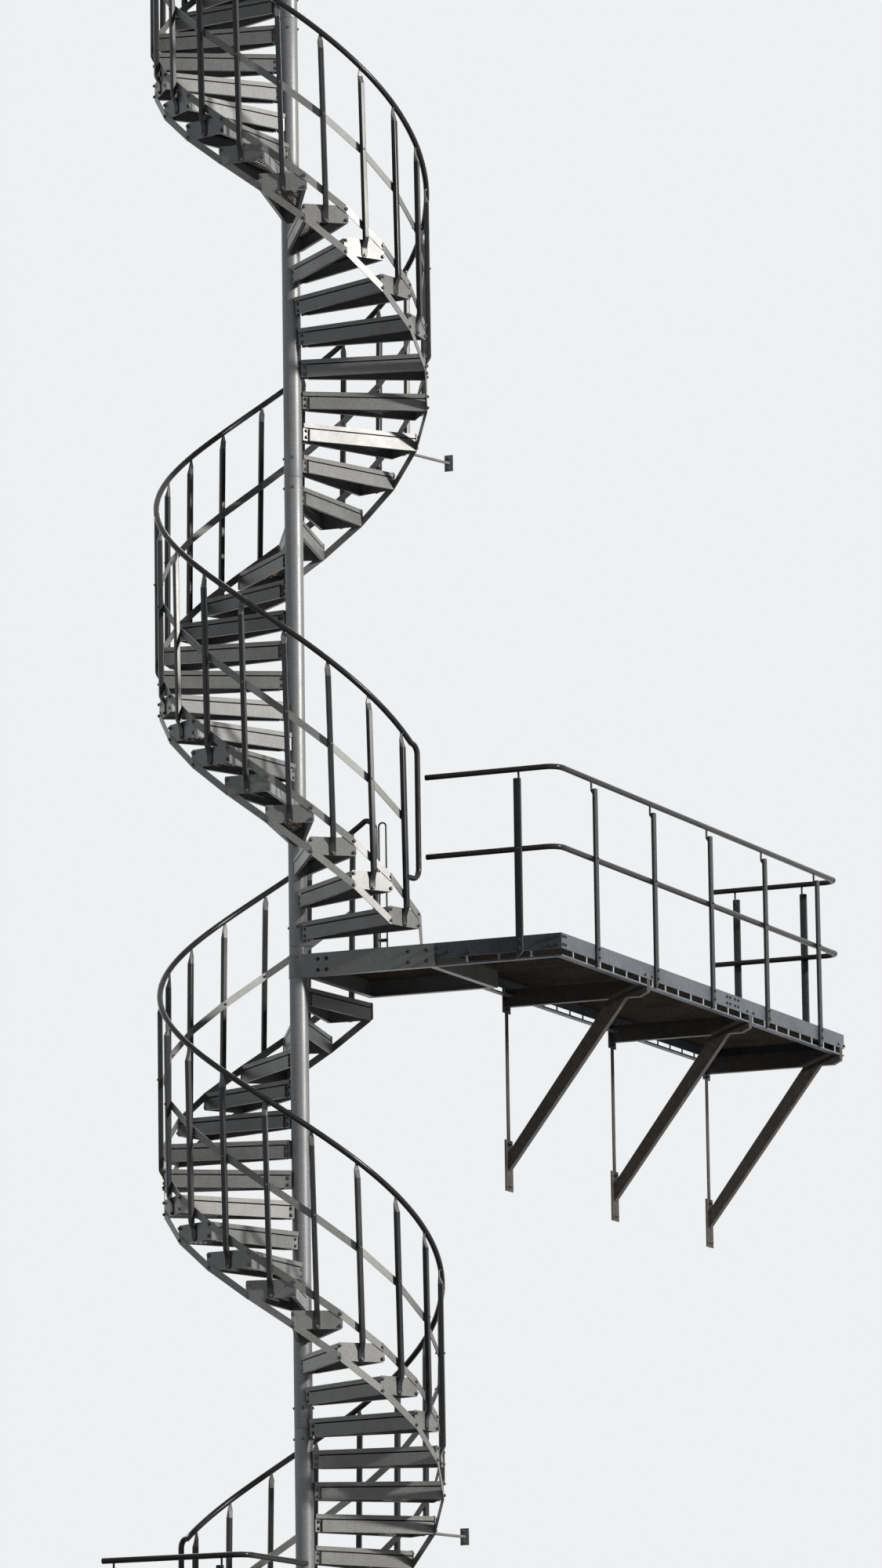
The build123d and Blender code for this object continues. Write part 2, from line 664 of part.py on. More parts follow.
# Walkway stanchions
with BuildPart() as walkway_stanchions:
    stanchion(STANCHION_NEAR, -LANDING_EDGE, (0, -1), MIDDLE_LEVEL)
    for i in range(STANCHION_COUNT):
        stanchion(WALKWAY_OUTER, STANCHION_FIRST + STANCHION_SPACING * i, (1, 0), MIDDLE_LEVEL)
    for x in STANCHION_RETURN:
        stanchion(x, WALKWAY_END, (0, 1), MIDDLE_LEVEL)
save(walkway_stanchions, "walkway_stanchions")

# Walkway rails, from beside the stair round the outer side and back to the wall
walkway_corners = [
    (RAIL_START, RAIL_INSET - LANDING_EDGE),
    (WALKWAY_OUTER - RAIL_INSET, RAIL_INSET - LANDING_EDGE),
    (WALKWAY_OUTER - RAIL_INSET, WALKWAY_END - RAIL_INSET),
    (WALL_X + WALL_GAP + RAIL_WALL_GAP, WALKWAY_END - RAIL_INSET),
]
with BuildPart() as walkway_top_rail:
    guard_rail(walkway_corners, MIDDLE_LEVEL + GUARD_HEIGHT)
save(walkway_top_rail, "walkway_top_rail")
with BuildPart() as walkway_lower_rail:
    guard_rail(walkway_corners, MIDDLE_LEVEL + LOWER_RAIL_HEIGHT)
save(walkway_lower_rail, "walkway_lower_rail")

# Guard of the exit landing: closed on two sides, from the open end round to the column
exit_corners = [
    (RAIL_INSET - LANDING_SIZE, RAIL_INSET - LANDING_SIZE),
    (LANDING_EDGE - RAIL_INSET, RAIL_INSET - LANDING_SIZE),
    (LANDING_EDGE - RAIL_INSET, -COLUMN_RADIUS),
]
with BuildPart() as exit_landing_guard:
    guard_rail(exit_corners, EXIT_LEVEL + GUARD_HEIGHT)
    guard_rail(exit_corners, EXIT_LEVEL + LOWER_RAIL_HEIGHT)
    for x in EXIT_STANCHIONS:
        stanchion(x, -LANDING_SIZE, (0, -1), EXIT_LEVEL)
save(exit_landing_guard, "exit_landing_guard")

# Guard of the top landing: from the column round to the wall
top_corners = [
    (COLUMN_RADIUS, RAIL_INSET - LANDING_EDGE),
    (LANDING_SIZE - RAIL_INSET, RAIL_INSET - LANDING_EDGE),
    (LANDING_SIZE - RAIL_INSET, WALL_Y - WALL_GAP - RAIL_WALL_GAP),
]
with BuildPart() as top_landing_guard:
    guard_rail(top_corners, TOP_LEVEL + GUARD_HEIGHT)
    guard_rail(top_corners, TOP_LEVEL + LOWER_RAIL_HEIGHT)
    stanchion(TOP_STANCHION_X, -LANDING_EDGE, (0, -1), TOP_LEVEL)
    for y in TOP_STANCHION_Y:
        stanchion(LANDING_SIZE, y, (1, 0), TOP_LEVEL)
save(top_landing_guard, "top_landing_guard")

# Hairpin stop on the back edge of the middle landing, with a tie between its legs
with BuildPart() as middle_landing_hairpin:
    left, right = HAIRPIN_X
    crown = (right - left) / 2
    base = MIDDLE_LEVEL - CHANNEL_WEB
    spring = MIDDLE_LEVEL + HAIRPIN_HEIGHT - crown
    centre_x = (left + right) / 2
    arc = [(centre_x - crown * math.cos(math.radians(t)), spring + crown * math.sin(math.radians(t)))
           for t in range(0, 181, 30)]
    crown_points = [(x, HAIRPIN_Y, z) for x, z in arc]
    rail_tube([(left, HAIRPIN_Y, base)] + crown_points + [(right, HAIRPIN_Y, base)], HAIRPIN_ROD)
    with BuildSketch(Plane.YZ.offset(left)):
        with Locations((HAIRPIN_Y, MIDDLE_LEVEL + HAIRPIN_TIE)):
            Rectangle(BAND_THICKNESS, BAND_WIDTH / 2)
    extrude(amount=right - left)
save(middle_landing_hairpin, "middle_landing_hairpin")

# Wall brackets: arm under the side plates, raking strut, foot plate and a bar between them on the wall
arm_top = MIDDLE_LEVEL - SIDE_PLATE_HEIGHT
for index, y in enumerate(BRACKET_Y):
    with BuildPart() as bracket:
        plate_x, plate_y, plate_z = BRACKET_PLATE
        foot_z = MIDDLE_LEVEL - STRUT_FOOT
        arm_start = WALL_X + plate_x
        arm_low = arm_top - ARM_DEPTH
        with BuildSketch(Plane.XZ.offset(-y - ARM_WIDTH / 2)):
            with BuildLine():
                Polyline(
                    (arm_start, arm_top),
                    (WALKWAY_OUTER, arm_top),
                    (WALKWAY_OUTER, arm_low + ARM_DEPTH / 4),
                    (WALKWAY_OUTER - ARM_DEPTH / 2, arm_low),
                    (arm_start, arm_low),
                    close=True,
                )
            make_face()
            with BuildLine():
                Polyline(
                    (arm_start, foot_z - STRUT_DEPTH / 2),
                    (arm_start + STRUT_REACH + STRUT_DEPTH, arm_low),
                    (arm_start + STRUT_REACH - STRUT_DEPTH / 2, arm_low),
                    (arm_start, foot_z + STRUT_DEPTH),
                    close=True,
                )
            make_face()
        extrude(amount=ARM_WIDTH)
        with BuildSketch(Plane.YZ.offset(WALL_X)):
            with Locations((y, foot_z)):
                Rectangle(plate_y, plate_z)
            with Locations((y, foot_z + plate_z / 2 - 30), (y, foot_z - plate_z / 2 + 30)):
                Circle(BRACKET_HOLE / 2, mode=Mode.SUBTRACT)
            with Locations((y, arm_top - ARM_DEPTH / 2)):
                Rectangle(plate_y, ARM_DEPTH + 80)
            with Locations((y, arm_low - 20), (y, arm_top + 20)):
                Circle(BRACKET_HOLE / 2, mode=Mode.SUBTRACT)
        extrude(amount=plate_x)
        bar_x, bar_y = WALL_BAR
        with BuildSketch(Plane.YZ.offset(WALL_X)):
            with Locations((y, (arm_low - 40 + foot_z + plate_z / 2) / 2)):
                Rectangle(bar_y, arm_low - 40 - foot_z - plate_z / 2)
        extrude(amount=bar_x)
    save(bracket, "wall_bracket_" + str(index + 1))


def wall_tie(angle, level):
    """Rod from a tread's end plate to a small plate on the wall behind the stair."""
    plate_w, plate_t, plate_h = TIE_PLATE
    start = Vector(*on_circle(TREAD_RADIUS + 0.5, angle, level))
    end = Vector(TIE_WALL_X, WALL_Y - plate_t, level)
    with BuildPart() as tie:
        with BuildSketch(Plane.XZ.offset(-WALL_Y)):
            with Locations((TIE_WALL_X, level)):
                Rectangle(plate_w, plate_h)
            with Locations((TIE_WALL_X, level - TIE_HOLE_SPACING / 2), (TIE_WALL_X, level + TIE_HOLE_SPACING / 2)):
                Circle(TIE_HOLE / 2, mode=Mode.SUBTRACT)
        extrude(amount=plate_t)
        rod = end - start
        with BuildSketch(Plane(origin=start, z_dir=rod)):
            RegularPolygon(TIE_ROD / 2, RAIL_SIDES)
        extrude(amount=rod.length + plate_t / 2)
    return tie


upper_angle, upper_level = upper_places()[UPPER_TIE_TREAD - 1]
save(wall_tie(upper_angle, upper_level + HOLE_ROW_LOW), "wall_tie_upper")
lower_angle, lower_level = lower_places()[::-1][LOWER_TIE_TREAD - 1]
save(wall_tie(lower_angle, lower_level + HOLE_ROW_LOW), "wall_tie_lower")
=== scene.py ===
"""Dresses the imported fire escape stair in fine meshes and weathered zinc, and sets up its studio."""
import json
import logging
import math
from dataclasses import dataclass, field
from enum import Enum
from typing import Callable, Iterable, Sequence

import bpy
import numpy as np
from mathutils import Matrix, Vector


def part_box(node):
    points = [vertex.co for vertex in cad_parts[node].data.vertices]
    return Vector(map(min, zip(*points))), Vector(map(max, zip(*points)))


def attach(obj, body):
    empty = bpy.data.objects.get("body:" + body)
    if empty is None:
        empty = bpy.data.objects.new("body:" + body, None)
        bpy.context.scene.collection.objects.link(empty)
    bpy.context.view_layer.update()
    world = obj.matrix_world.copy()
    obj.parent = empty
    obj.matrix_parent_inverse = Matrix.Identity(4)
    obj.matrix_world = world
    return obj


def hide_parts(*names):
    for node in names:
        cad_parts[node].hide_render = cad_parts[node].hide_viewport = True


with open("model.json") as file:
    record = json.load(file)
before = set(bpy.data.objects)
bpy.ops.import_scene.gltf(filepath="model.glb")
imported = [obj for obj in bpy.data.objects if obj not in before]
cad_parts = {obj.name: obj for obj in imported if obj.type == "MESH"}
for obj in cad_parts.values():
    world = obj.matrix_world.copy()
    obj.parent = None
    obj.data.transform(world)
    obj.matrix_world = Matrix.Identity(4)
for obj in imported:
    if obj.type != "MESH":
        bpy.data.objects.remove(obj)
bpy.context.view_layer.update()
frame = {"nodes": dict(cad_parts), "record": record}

log = logging.getLogger("stair")

Vec = tuple[float, float, float]
RGB = tuple[float, float, float]
Points = Sequence[tuple[float, float]]
Node, Socket = bpy.types.Node, bpy.types.NodeSocket

# Levels that the flights share with the landings
RISE_LOWER, RISE_UPPER = 0.2015, 0.209
EXIT_LEVEL = RISE_LOWER
MIDDLE_LEVEL = EXIT_LEVEL + 25 * RISE_LOWER
TOP_LEVEL = MIDDLE_LEVEL + 36 * RISE_UPPER

# What several pieces share: the column, the band on the end plates and its two rows of holes under a tread's top,
# the landings' near and far sides, the walkway's outer side and far end, the brackets, a rail's place in from the
# face of its side plate, how far the walkway's panels stand off the landing's side, and the facets round a rail
COLUMN_RADIUS = 0.0605
BAND = 0.005
HOLE_ROW_TOP, HOLE_ROW_LOW = -0.017, -0.092
LANDING_EDGE, LANDING_SIZE = 0.050, 0.985
WALKWAY_OUTER, WALKWAY_END = 1.877, 5.045
BRACKET_Y = (1.416, 3.245, 4.985)
RAIL_INSET = 0.017
PANEL_LAP = 0.009
RAIL_SIDES = 18
AXIS_X, AXIS_Y, AXIS_Z = np.eye(3)


# ---------------------------------------------------------------- surfaces

@dataclass
class Surface:
    """Points and the faces between them; each face array holds polygons with one number of corners."""
    points: np.ndarray
    faces: list[np.ndarray]

    def moved(self, matrix: np.ndarray) -> "Surface":
        """Copy carried by one 4 x 4 matrix."""
        return self.copies(matrix[None])

    def copies(self, matrices: np.ndarray) -> "Surface":
        """One copy for each matrix: every point times every matrix, with the faces counted on.

        Args:
            matrices: array of k 4 x 4 placements.
        Returns:
            All copies as one surface.
        """
        k, n = len(matrices), len(self.points)
        turned = np.einsum("kij,nj->kni", matrices[:, :3, :3], self.points) + matrices[:, None, :3, 3]
        step = (np.arange(k) * n)[:, None, None]
        faces = [(f[None] + step).reshape(-1, f.shape[1]) for f in self.faces]
        return Surface(turned.reshape(-1, 3), faces)


def joined(parts: Iterable[Surface]) -> Surface:
    """All parts as one surface, their faces counted on in order.

    Args:
        parts: the surfaces.
    Returns:
        The one surface.
    """
    points, faces, count = [], [], 0
    for part in parts:
        points.append(part.points)
        faces += [f + count for f in part.faces]
        count += len(part.points)
    return Surface(np.concatenate(points), faces)


def unit(v: np.ndarray) -> np.ndarray:
    """Vectors divided by their lengths, along the last axis."""
    return v / np.linalg.norm(v, axis=-1, keepdims=True)


def placement(x: np.ndarray, y: np.ndarray, z: np.ndarray, origin: np.ndarray) -> np.ndarray:
    """4 x 4 placements whose columns are the three axes and the origin, for whole arrays of them.

    Args:
        x: the X axis, or a row for each.
        y: the Y axis.
        z: the Z axis.
        origin: the origin.
    Returns:
        The placements.
    """
    shape = np.broadcast_shapes(np.shape(x), np.shape(y), np.shape(z), np.shape(origin))
    out = np.zeros(shape[:-1] + (4, 4))
    for i, column in enumerate((x, y, z, origin)):
        out[..., :3, i] = column
    out[..., 3, 3] = 1.0
    return out


def ring_faces(rings: int, sides: int) -> list[np.ndarray]:
    """Quads between rings of points, and a many-sided cap on the first and the last ring.

    Args:
        rings: how many rings.
        sides: points of each ring.
    Returns:
        The quads, then the two caps.
    """
    i, j = np.meshgrid(np.arange(rings - 1), np.arange(sides), indexing="ij")
    after = (j + 1) % sides
    quads = np.stack([i * sides + j, i * sides + after, (i + 1) * sides + after, (i + 1) * sides + j], -1)
    caps = np.stack([np.arange(sides)[::-1], np.arange(sides) + (rings - 1) * sides])
    return [quads.reshape(-1, 4), caps]


def prism(outline: Points, low: float, high: float) -> Surface:
    """A flat outline, listed anticlockwise, drawn up from one height to another."""
    ends = [np.c_[np.asarray(outline, float), np.full(len(outline), z)] for z in (low, high)]
    return Surface(np.concatenate(ends), ring_faces(2, len(outline)))


def oval(sides: int, wide: float, deep: float) -> np.ndarray:
    """Ellipse of points, x = wide cos t and y = deep sin t."""
    t = np.arange(sides) * 2 * np.pi / sides
    return np.c_[wide * np.cos(t), deep * np.sin(t)]


def carried(profile: np.ndarray, path: np.ndarray, across: np.ndarray) -> Surface:
    """A closed profile carried along a path and capped at both ends.

    A point is path(u) + x(u, v) side(u) + y(u, v) up(u), where side is square to the path and nearest to the
    given direction, and up is square to both.

    Args:
        profile: m x 2 outline, or n x m x 2 for one that changes along the path.
        path: n points.
        across: wanted direction of the profile's x, one for all or one for each point.
    Returns:
        The closed surface.
    """
    along = unit(np.gradient(path, axis=0))
    across = np.broadcast_to(across, path.shape)
    side = unit(across - along * np.sum(across * along, -1, keepdims=True))
    up = np.cross(along, side)
    section = np.broadcast_to(profile, (len(path),) + profile.shape[-2:])
    points = path[:, None] + section[..., :1] * side[:, None] + section[..., 1:] * up[:, None]
    return Surface(points.reshape(-1, 3), ring_faces(len(path), profile.shape[-2]))


def turned_form(profile: Points, sides: int) -> Surface:
    """Outline spun round Z: x = r cos t, y = r sin t, z = h, with flat caps.

    Args:
        profile: radius r and height h of each ring.
        sides: points of a ring.
    Returns:
        The closed surface.
    """
    rz = np.asarray(profile, float)
    circle = oval(sides, 1.0, 1.0)
    points = np.concatenate([rz[:, None, :1] * circle[None], np.repeat(rz[:, None, 1:], sides, 1)], -1)
    return Surface(points.reshape(-1, 3), ring_faces(len(rz), sides))


def flat_bars(start: np.ndarray, end: np.ndarray, width: float, depth: float) -> Surface:
    """Level bars on edge: each from start to end along its top centre line, half its width to each side.

    Args:
        start: k x 3 top centre points at one end.
        end: k x 3 top centre points at the other end.
        width: thickness of a bar seen from above.
        depth: how far it goes down.
    Returns:
        All the bars.
    """
    along = unit(end - start)
    side = np.stack([-along[:, 1], along[:, 0], np.zeros(len(along))], -1) * width / 2
    down = np.array([0.0, 0.0, -depth])
    near = np.stack([start - side + down, start + side + down, start + side, start - side], 1)
    far = near + (end - start)[:, None]
    points = np.concatenate([near, far], 1)
    quads = np.array([[0, 1, 2, 3], [7, 6, 5, 4], [0, 4, 5, 1], [1, 5, 6, 2], [2, 6, 7, 3], [3, 7, 4, 0]])[:, ::-1]
    step = (np.arange(len(start)) * 8)[:, None, None]
    return Surface(points.reshape(-1, 3), [(quads[None] + step).reshape(-1, 4)])


def quarter(corner: np.ndarray, before: np.ndarray, after: np.ndarray, radius: float, count: int) -> np.ndarray:
    """Points of a quarter bend at a corner, from coming in along one direction to leaving along the other."""
    t = np.linspace(0, np.pi / 2, count)[:, None]
    return corner - before * radius * (1 - np.sin(t)) + after * radius * (1 - np.cos(t))


# ---------------------------------------------------------------- finishes

class Slot(Enum):
    """The record's material slots."""
    GALVANISED = "galvanised"
    TUBE = "rail_tube"
    GRATING = "grating"
    BRACKET = "bracket"


class Sheet:
    """Adds and wires the nodes of one shader tree."""

    def __init__(self, tree: bpy.types.NodeTree) -> None:
        """Keeps the tree and clears it."""
        self.tree = tree
        tree.nodes.clear()

    def add(self, kind: str, inputs: dict[str, object] | None = None, **settings: object) -> Node:
        """Adds a node.

        Args:
            kind: Blender's node type.
            inputs: socket name to a value, or to an output socket that is linked.
            settings: properties set on the node.
        Returns:
            The node.
        """
        node = self.tree.nodes.new(kind)
        for name, value in settings.items():
            setattr(node, name, value)
        for name, value in (inputs or {}).items():
            self.plug(node.inputs[int(name)] if name.isdigit() else node.inputs[name], value)
        return node

    def plug(self, socket: Socket, value: object) -> None:
        """Gives a socket its value.

        Args:
            socket: an input.
            value: an output to link to it, or a value of its own.
        """
        if isinstance(value, Socket):
            self.tree.links.new(value, socket)
        else:
            socket.default_value = value

    def math(self, operation: str, *values: object) -> Socket:
        """Output of one operation on two or three values."""
        inputs = {str(i): value for i, value in enumerate(values)}
        return self.add("ShaderNodeMath", inputs, operation=operation).outputs[0]

    def ramp(self, source: Socket, low: float, high: float, out_low: float, out_high: float) -> Socket:
        """Output of a straight-line map of a value between two ranges, held at its ends."""
        inputs = {"Value": source, "From Min": low, "From Max": high, "To Min": out_low, "To Max": out_high}
        return self.add("ShaderNodeMapRange", inputs).outputs["Result"]

    def mix(self, amount: object, first: object, second: object) -> Socket:
        """Output of a mix of two colours, which the mix node has on the sockets after its plain values."""
        return self.add("ShaderNodeMix", {"0": amount, "6": first, "7": second}, data_type="RGBA").outputs[2]


def group(name: str, takes: dict[str, float], gives: Sequence[str],
          build: Callable[[Sheet, Node, Node], None]) -> bpy.types.NodeTree:
    """Makes a shader node group once.

    Args:
        name: the group's name.
        takes: float inputs and their first values, besides the Vector input.
        gives: names of the float outputs.
        build: called with the sheet, the input node and the output node.
    Returns:
        The group.
    """
    tree = bpy.data.node_groups.get(name)
    if tree:
        return tree
    tree = bpy.data.node_groups.new(name, "ShaderNodeTree")
    tree.interface.new_socket("Vector", in_out="INPUT", socket_type="NodeSocketVector")
    for key, value in takes.items():
        tree.interface.new_socket(key, in_out="INPUT", socket_type="NodeSocketFloat").default_value = value
    for key in gives:
        tree.interface.new_socket(key, in_out="OUTPUT", socket_type="NodeSocketFloat")
    sheet = Sheet(tree)
    build(sheet, sheet.add("NodeGroupInput"), sheet.add("NodeGroupOutput"))
    return tree


def spangle(sheet: Sheet, given: Node, result: Node) -> None:
    """Zinc crystals: two sizes of cells, each cell with a shade of its own.

    Args:
        sheet: the group's sheet.
        given: its input node.
        result: its output node.
    """
    place, shades = given.outputs["Vector"], []
    for share in (1.0, 2.3):
        scale = sheet.math("MULTIPLY", given.outputs["Cells"], share)
        warp = sheet.add("ShaderNodeTexNoise", {"Vector": place, "Scale": scale})
        bent = sheet.add("ShaderNodeVectorMath", {"0": warp.outputs["Color"], "1": (0.008, 0.008, 0.008)},
                         operation="MULTIPLY")
        moved = sheet.add("ShaderNodeVectorMath", {"0": place, "1": bent.outputs[0]})
        cells = sheet.add("ShaderNodeTexVoronoi", {"Vector": moved.outputs[0], "Scale": scale})
        shades.append(sheet.add("ShaderNodeSeparateColor", {"Color": cells.outputs["Color"]}).outputs[0])
    both = sheet.math("MULTIPLY_ADD", shades[1], 0.35, sheet.math("MULTIPLY", shades[0], 0.65))
    sheet.plug(result.inputs["Shade"], both)


def weather(sheet: Sheet, given: Node, result: Node) -> None:
    """Dirt in soft patches and in thin runs down the surface.

    Args:
        sheet: the group's sheet.
        given: its input node.
        result: its output node.
    """
    place = given.outputs["Vector"]
    patches = sheet.add("ShaderNodeTexNoise", {"Vector": place, "Scale": given.outputs["Scale"], "Detail": 6.0,
                                               "Roughness": 0.62}).outputs[0]
    stretch = sheet.add("ShaderNodeVectorMath", {"0": place, "1": (26.0, 26.0, 1.7)}, operation="MULTIPLY")
    runs = sheet.add("ShaderNodeTexNoise", {"Vector": stretch.outputs[0], "Scale": 1.0, "Detail": 4.0}).outputs[0]
    thin = sheet.math("MULTIPLY", sheet.ramp(runs, 0.50, 0.78, 0.0, 1.0), given.outputs["Runs"])
    dirt = sheet.math("MAXIMUM", sheet.ramp(patches, 0.42, 0.72, 0.0, 1.0), thin)
    sheet.plug(result.inputs["Dirt"], dirt)
    sheet.plug(result.inputs["Patches"], patches)


def grain(sheet: Sheet, given: Node, result: Node) -> None:
    """Fine unevenness of dipped or rolled metal."""
    inputs = {"Vector": given.outputs["Vector"], "Scale": given.outputs["Scale"], "Detail": 3.0}
    sheet.plug(result.inputs["Height"], sheet.add("ShaderNodeTexNoise", inputs).outputs[0])


@dataclass(frozen=True)
class Finish:
    """A weathered metal finish: two crystal shades, dirt over them, and its gloss.

    Each of the bands is a height from the middle level and what the colour is multiplied by below it, over a soft
    edge as high as band_edge: painted light and painted shade laid on by height.
    """
    name: str
    dark: RGB
    light: RGB
    dirt: RGB
    dirt_share: float = 0.5
    cells: float = 55.0
    runs: float = 0.8
    metallic: float = 0.55
    rough_low: float = 0.38
    rough_high: float = 0.62
    bump: float = 0.15
    bump_depth: float = 0.0008
    grain_scale: float = 420.0
    specular: float = 0.3
    bands: Points = ()
    band_edge: float = 0.002

    def material(self) -> bpy.types.Material:
        """Builds the material from the spangle, weather and grain groups, once.

        Returns:
            The material.
        """
        found = bpy.data.materials.get(self.name)
        if found:
            return found
        made = bpy.data.materials.new(self.name)
        made.use_nodes = True
        sheet = Sheet(made.node_tree)
        place = sheet.add("ShaderNodeTexCoord").outputs["Object"]
        cells = sheet.add("ShaderNodeGroup", {"Vector": place, "Cells": self.cells},
                          node_tree=group("zinc_spangle", {"Cells": 55.0}, ["Shade"], spangle))
        worn = sheet.add("ShaderNodeGroup", {"Vector": place, "Runs": self.runs},
                         node_tree=group("weathering", {"Scale": 3.0, "Runs": 0.8}, ["Dirt", "Patches"], weather))
        fine = sheet.add("ShaderNodeGroup", {"Vector": place, "Scale": self.grain_scale},
                         node_tree=group("fine_grain", {"Scale": 400.0}, ["Height"], grain))
        clean = sheet.mix(cells.outputs["Shade"], (*self.dark, 1.0), (*self.light, 1.0))
        dirt = sheet.ramp(worn.outputs["Dirt"], 0.0, 1.0, 0.0, self.dirt_share)
        colour = sheet.mix(dirt, clean, (*self.dirt, 1.0))
        # Painted light and shade: below each band's height the colour is scaled by its share.
        for height, share in self.bands:
            edge = MIDDLE_LEVEL + height
            z = sheet.add("ShaderNodeSeparateXYZ", {"Vector": place}).outputs["Z"]
            shade = sheet.ramp(z, edge - self.band_edge, edge, share, 1.0)
            colour = sheet.add("ShaderNodeVectorMath", {"0": colour, "Scale": shade}, operation="SCALE").outputs[0]
        rough = sheet.ramp(worn.outputs["Patches"], 0.3, 0.7, self.rough_low, self.rough_high)
        bump = sheet.add("ShaderNodeBump", {"Height": fine.outputs["Height"], "Strength": self.bump,
                                            "Distance": self.bump_depth})
        shader = sheet.add("ShaderNodeBsdfPrincipled", {"Base Color": colour, "Roughness": rough,
                                                        "Metallic": self.metallic, "Normal": bump.outputs[0],
                                                        "Specular IOR Level": self.specular})
        sheet.add("ShaderNodeOutputMaterial", {"Surface": shader.outputs[0]})
        return made


ZINC = Finish("galvanised_steel", (0.105, 0.110, 0.116), (0.245, 0.248, 0.245), (0.068, 0.061, 0.052), cells=190.0,
              metallic=0.05, rough_low=0.34, rough_high=0.44, specular=0.65)
# The side plates' zinc is darker and bluer than the treads', partly painted shade. Its bands paint light: between 0.142
# m and 0.101 m under the middle level, on the pegs, the colour is multiplied by 3.6, a painted highlight; lower down
# 0.3 more takes the strip back to about its own tone.
PAINTED_LIGHT_PLATE_ZINC = Finish("side_plate_zinc_painted_light", (0.052, 0.061, 0.076), (0.170, 0.188, 0.214), (0.055, 0.053, 0.050),
                    cells=170.0, metallic=0.03, rough_low=0.34, rough_high=0.46, specular=0.14,
                    bands=((-0.101, 3.6), (-0.142, 0.3)))
COLUMN_ZINC = Finish("column_zinc", (0.100, 0.107, 0.120), (0.225, 0.232, 0.242), (0.085, 0.078, 0.068),
                     dirt_share=0.35, cells=150.0, metallic=0.10, rough_low=0.39, rough_high=0.50, specular=0.95)
# Baluster tubes and the hairpin rod: zinc darkened to near black, painted shade.
TUBE = Finish("baluster_tube_painted_shade", (0.013, 0.015, 0.019), (0.036, 0.039, 0.044), (0.030, 0.026, 0.021),
              dirt_share=0.3, cells=120.0, metallic=0.0, rough_low=0.25, rough_high=0.34, specular=0.22)
# Walkway stanchions: zinc darkened to near black, painted shade.
SHADE_DARKENED_POST = Finish("stanchion_painted_shade", (0.020, 0.023, 0.028), (0.075, 0.079, 0.085), (0.034, 0.030, 0.025),
              dirt_share=0.3, cells=120.0, metallic=0.0, rough_low=0.28, rough_high=0.38, specular=0.13)
HEAD = Finish("bare_zinc_head", (0.080, 0.084, 0.090), (0.170, 0.175, 0.180), (0.070, 0.062, 0.052),
              dirt_share=0.35, cells=160.0, metallic=0.10, rough_low=0.30, rough_high=0.44, specular=0.4)
# Handrail and guard rails: their duller brown-grey darkened to near black, painted shade.
SHADE_DARKENED_RAIL = Finish("handrail_tube_painted_shade", (0.013, 0.014, 0.016), (0.026, 0.027, 0.029), (0.028, 0.021, 0.016),
              dirt_share=0.3, cells=22.0, runs=0.2, metallic=0.0, rough_low=0.17, rough_high=0.26, specular=0.17)
MESH = Finish("galvanised_grating", (0.075, 0.063, 0.052), (0.145, 0.126, 0.105), (0.066, 0.046, 0.029),
              dirt_share=0.8, metallic=0.05, rough_low=0.5, rough_high=0.75, specular=0.2)
# Near-black grooves under the rim's lip: dirt, and painted shade for the lip's shadow.
DIRT_AND_SHADE_GROOVE = Finish("groove_dirt_and_painted_shade", (0.018, 0.018, 0.019), (0.032, 0.031, 0.030), (0.022, 0.017, 0.013),
                dirt_share=0.8, metallic=0.0, rough_low=0.7, rough_high=0.9, specular=0.1)
BROWN = Finish("old_bracket_steel", (0.032, 0.031, 0.031), (0.070, 0.067, 0.063), (0.062, 0.034, 0.019),
               dirt_share=0.55, cells=30.0, metallic=0.05, rough_low=0.36, rough_high=0.55, bump=0.3,
               grain_scale=180.0, specular=0.2)
DARK_BOLT = Finish("dark_fastener", (0.022, 0.023, 0.026), (0.055, 0.055, 0.056), (0.030, 0.025, 0.020),
                   dirt_share=0.5, cells=120.0, metallic=0.0, rough_low=0.40, rough_high=0.60, specular=0.15)
BOLT = Finish("zinc_fastener", (0.070, 0.071, 0.074), (0.150, 0.150, 0.148), (0.060, 0.050, 0.040), dirt_share=0.4,
              cells=120.0, metallic=0.25, rough_low=0.30, rough_high=0.48)
FINISH_OF = {Slot.GALVANISED: ZINC, Slot.TUBE: SHADE_DARKENED_RAIL, Slot.GRATING: MESH, Slot.BRACKET: BROWN}


# ---------------------------------------------------------------- pieces

def linked(name: str, data: bpy.types.ID) -> bpy.types.Object:
    """Makes an object in the scene.

    Args:
        name: its name.
        data: the mesh, lamp or camera that it holds.
    Returns:
        The object.
    """
    made = bpy.data.objects.new(name, data)
    bpy.context.scene.collection.objects.link(made)
    return made


def meshed(name: str, surface: Surface, material: bpy.types.Material) -> bpy.types.Object:
    """Makes a mesh object.

    Args:
        name: its name.
        surface: its points and faces.
        material: what it is made of.
    Returns:
        The object.
    """
    mesh = bpy.data.meshes.new(name)
    mesh.from_pydata(surface.points.tolist(), [], [row for block in surface.faces for row in block.tolist()])
    mesh.update()
    mesh.materials.append(material)
    return linked(name, mesh)


def show(name: str, surface: Surface, finish: Finish, smooth: bool = False,
         stands_for: Sequence[str] = (), sharp: float = 40.0) -> None:
    """Makes a piece, dresses it and sets it on the root body.

    Args:
        name: the piece's name.
        surface: its points and faces.
        finish: what it is made of.
        smooth: shade it as a rounded surface.
        stands_for: CAD nodes that it replaces.
        sharp: degrees between two faces over which a rounded surface keeps its edge.
    """
    piece = meshed(name, surface, finish.material())
    if smooth:
        piece.data.shade_smooth()
        piece.data.set_sharp_from_angle(angle=math.radians(sharp))
    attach(piece, "root")
    if stands_for:
        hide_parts(*stands_for)
    log.info("%s: %d triangles", name, sum(len(block) * (block.shape[1] - 2) for block in surface.faces))


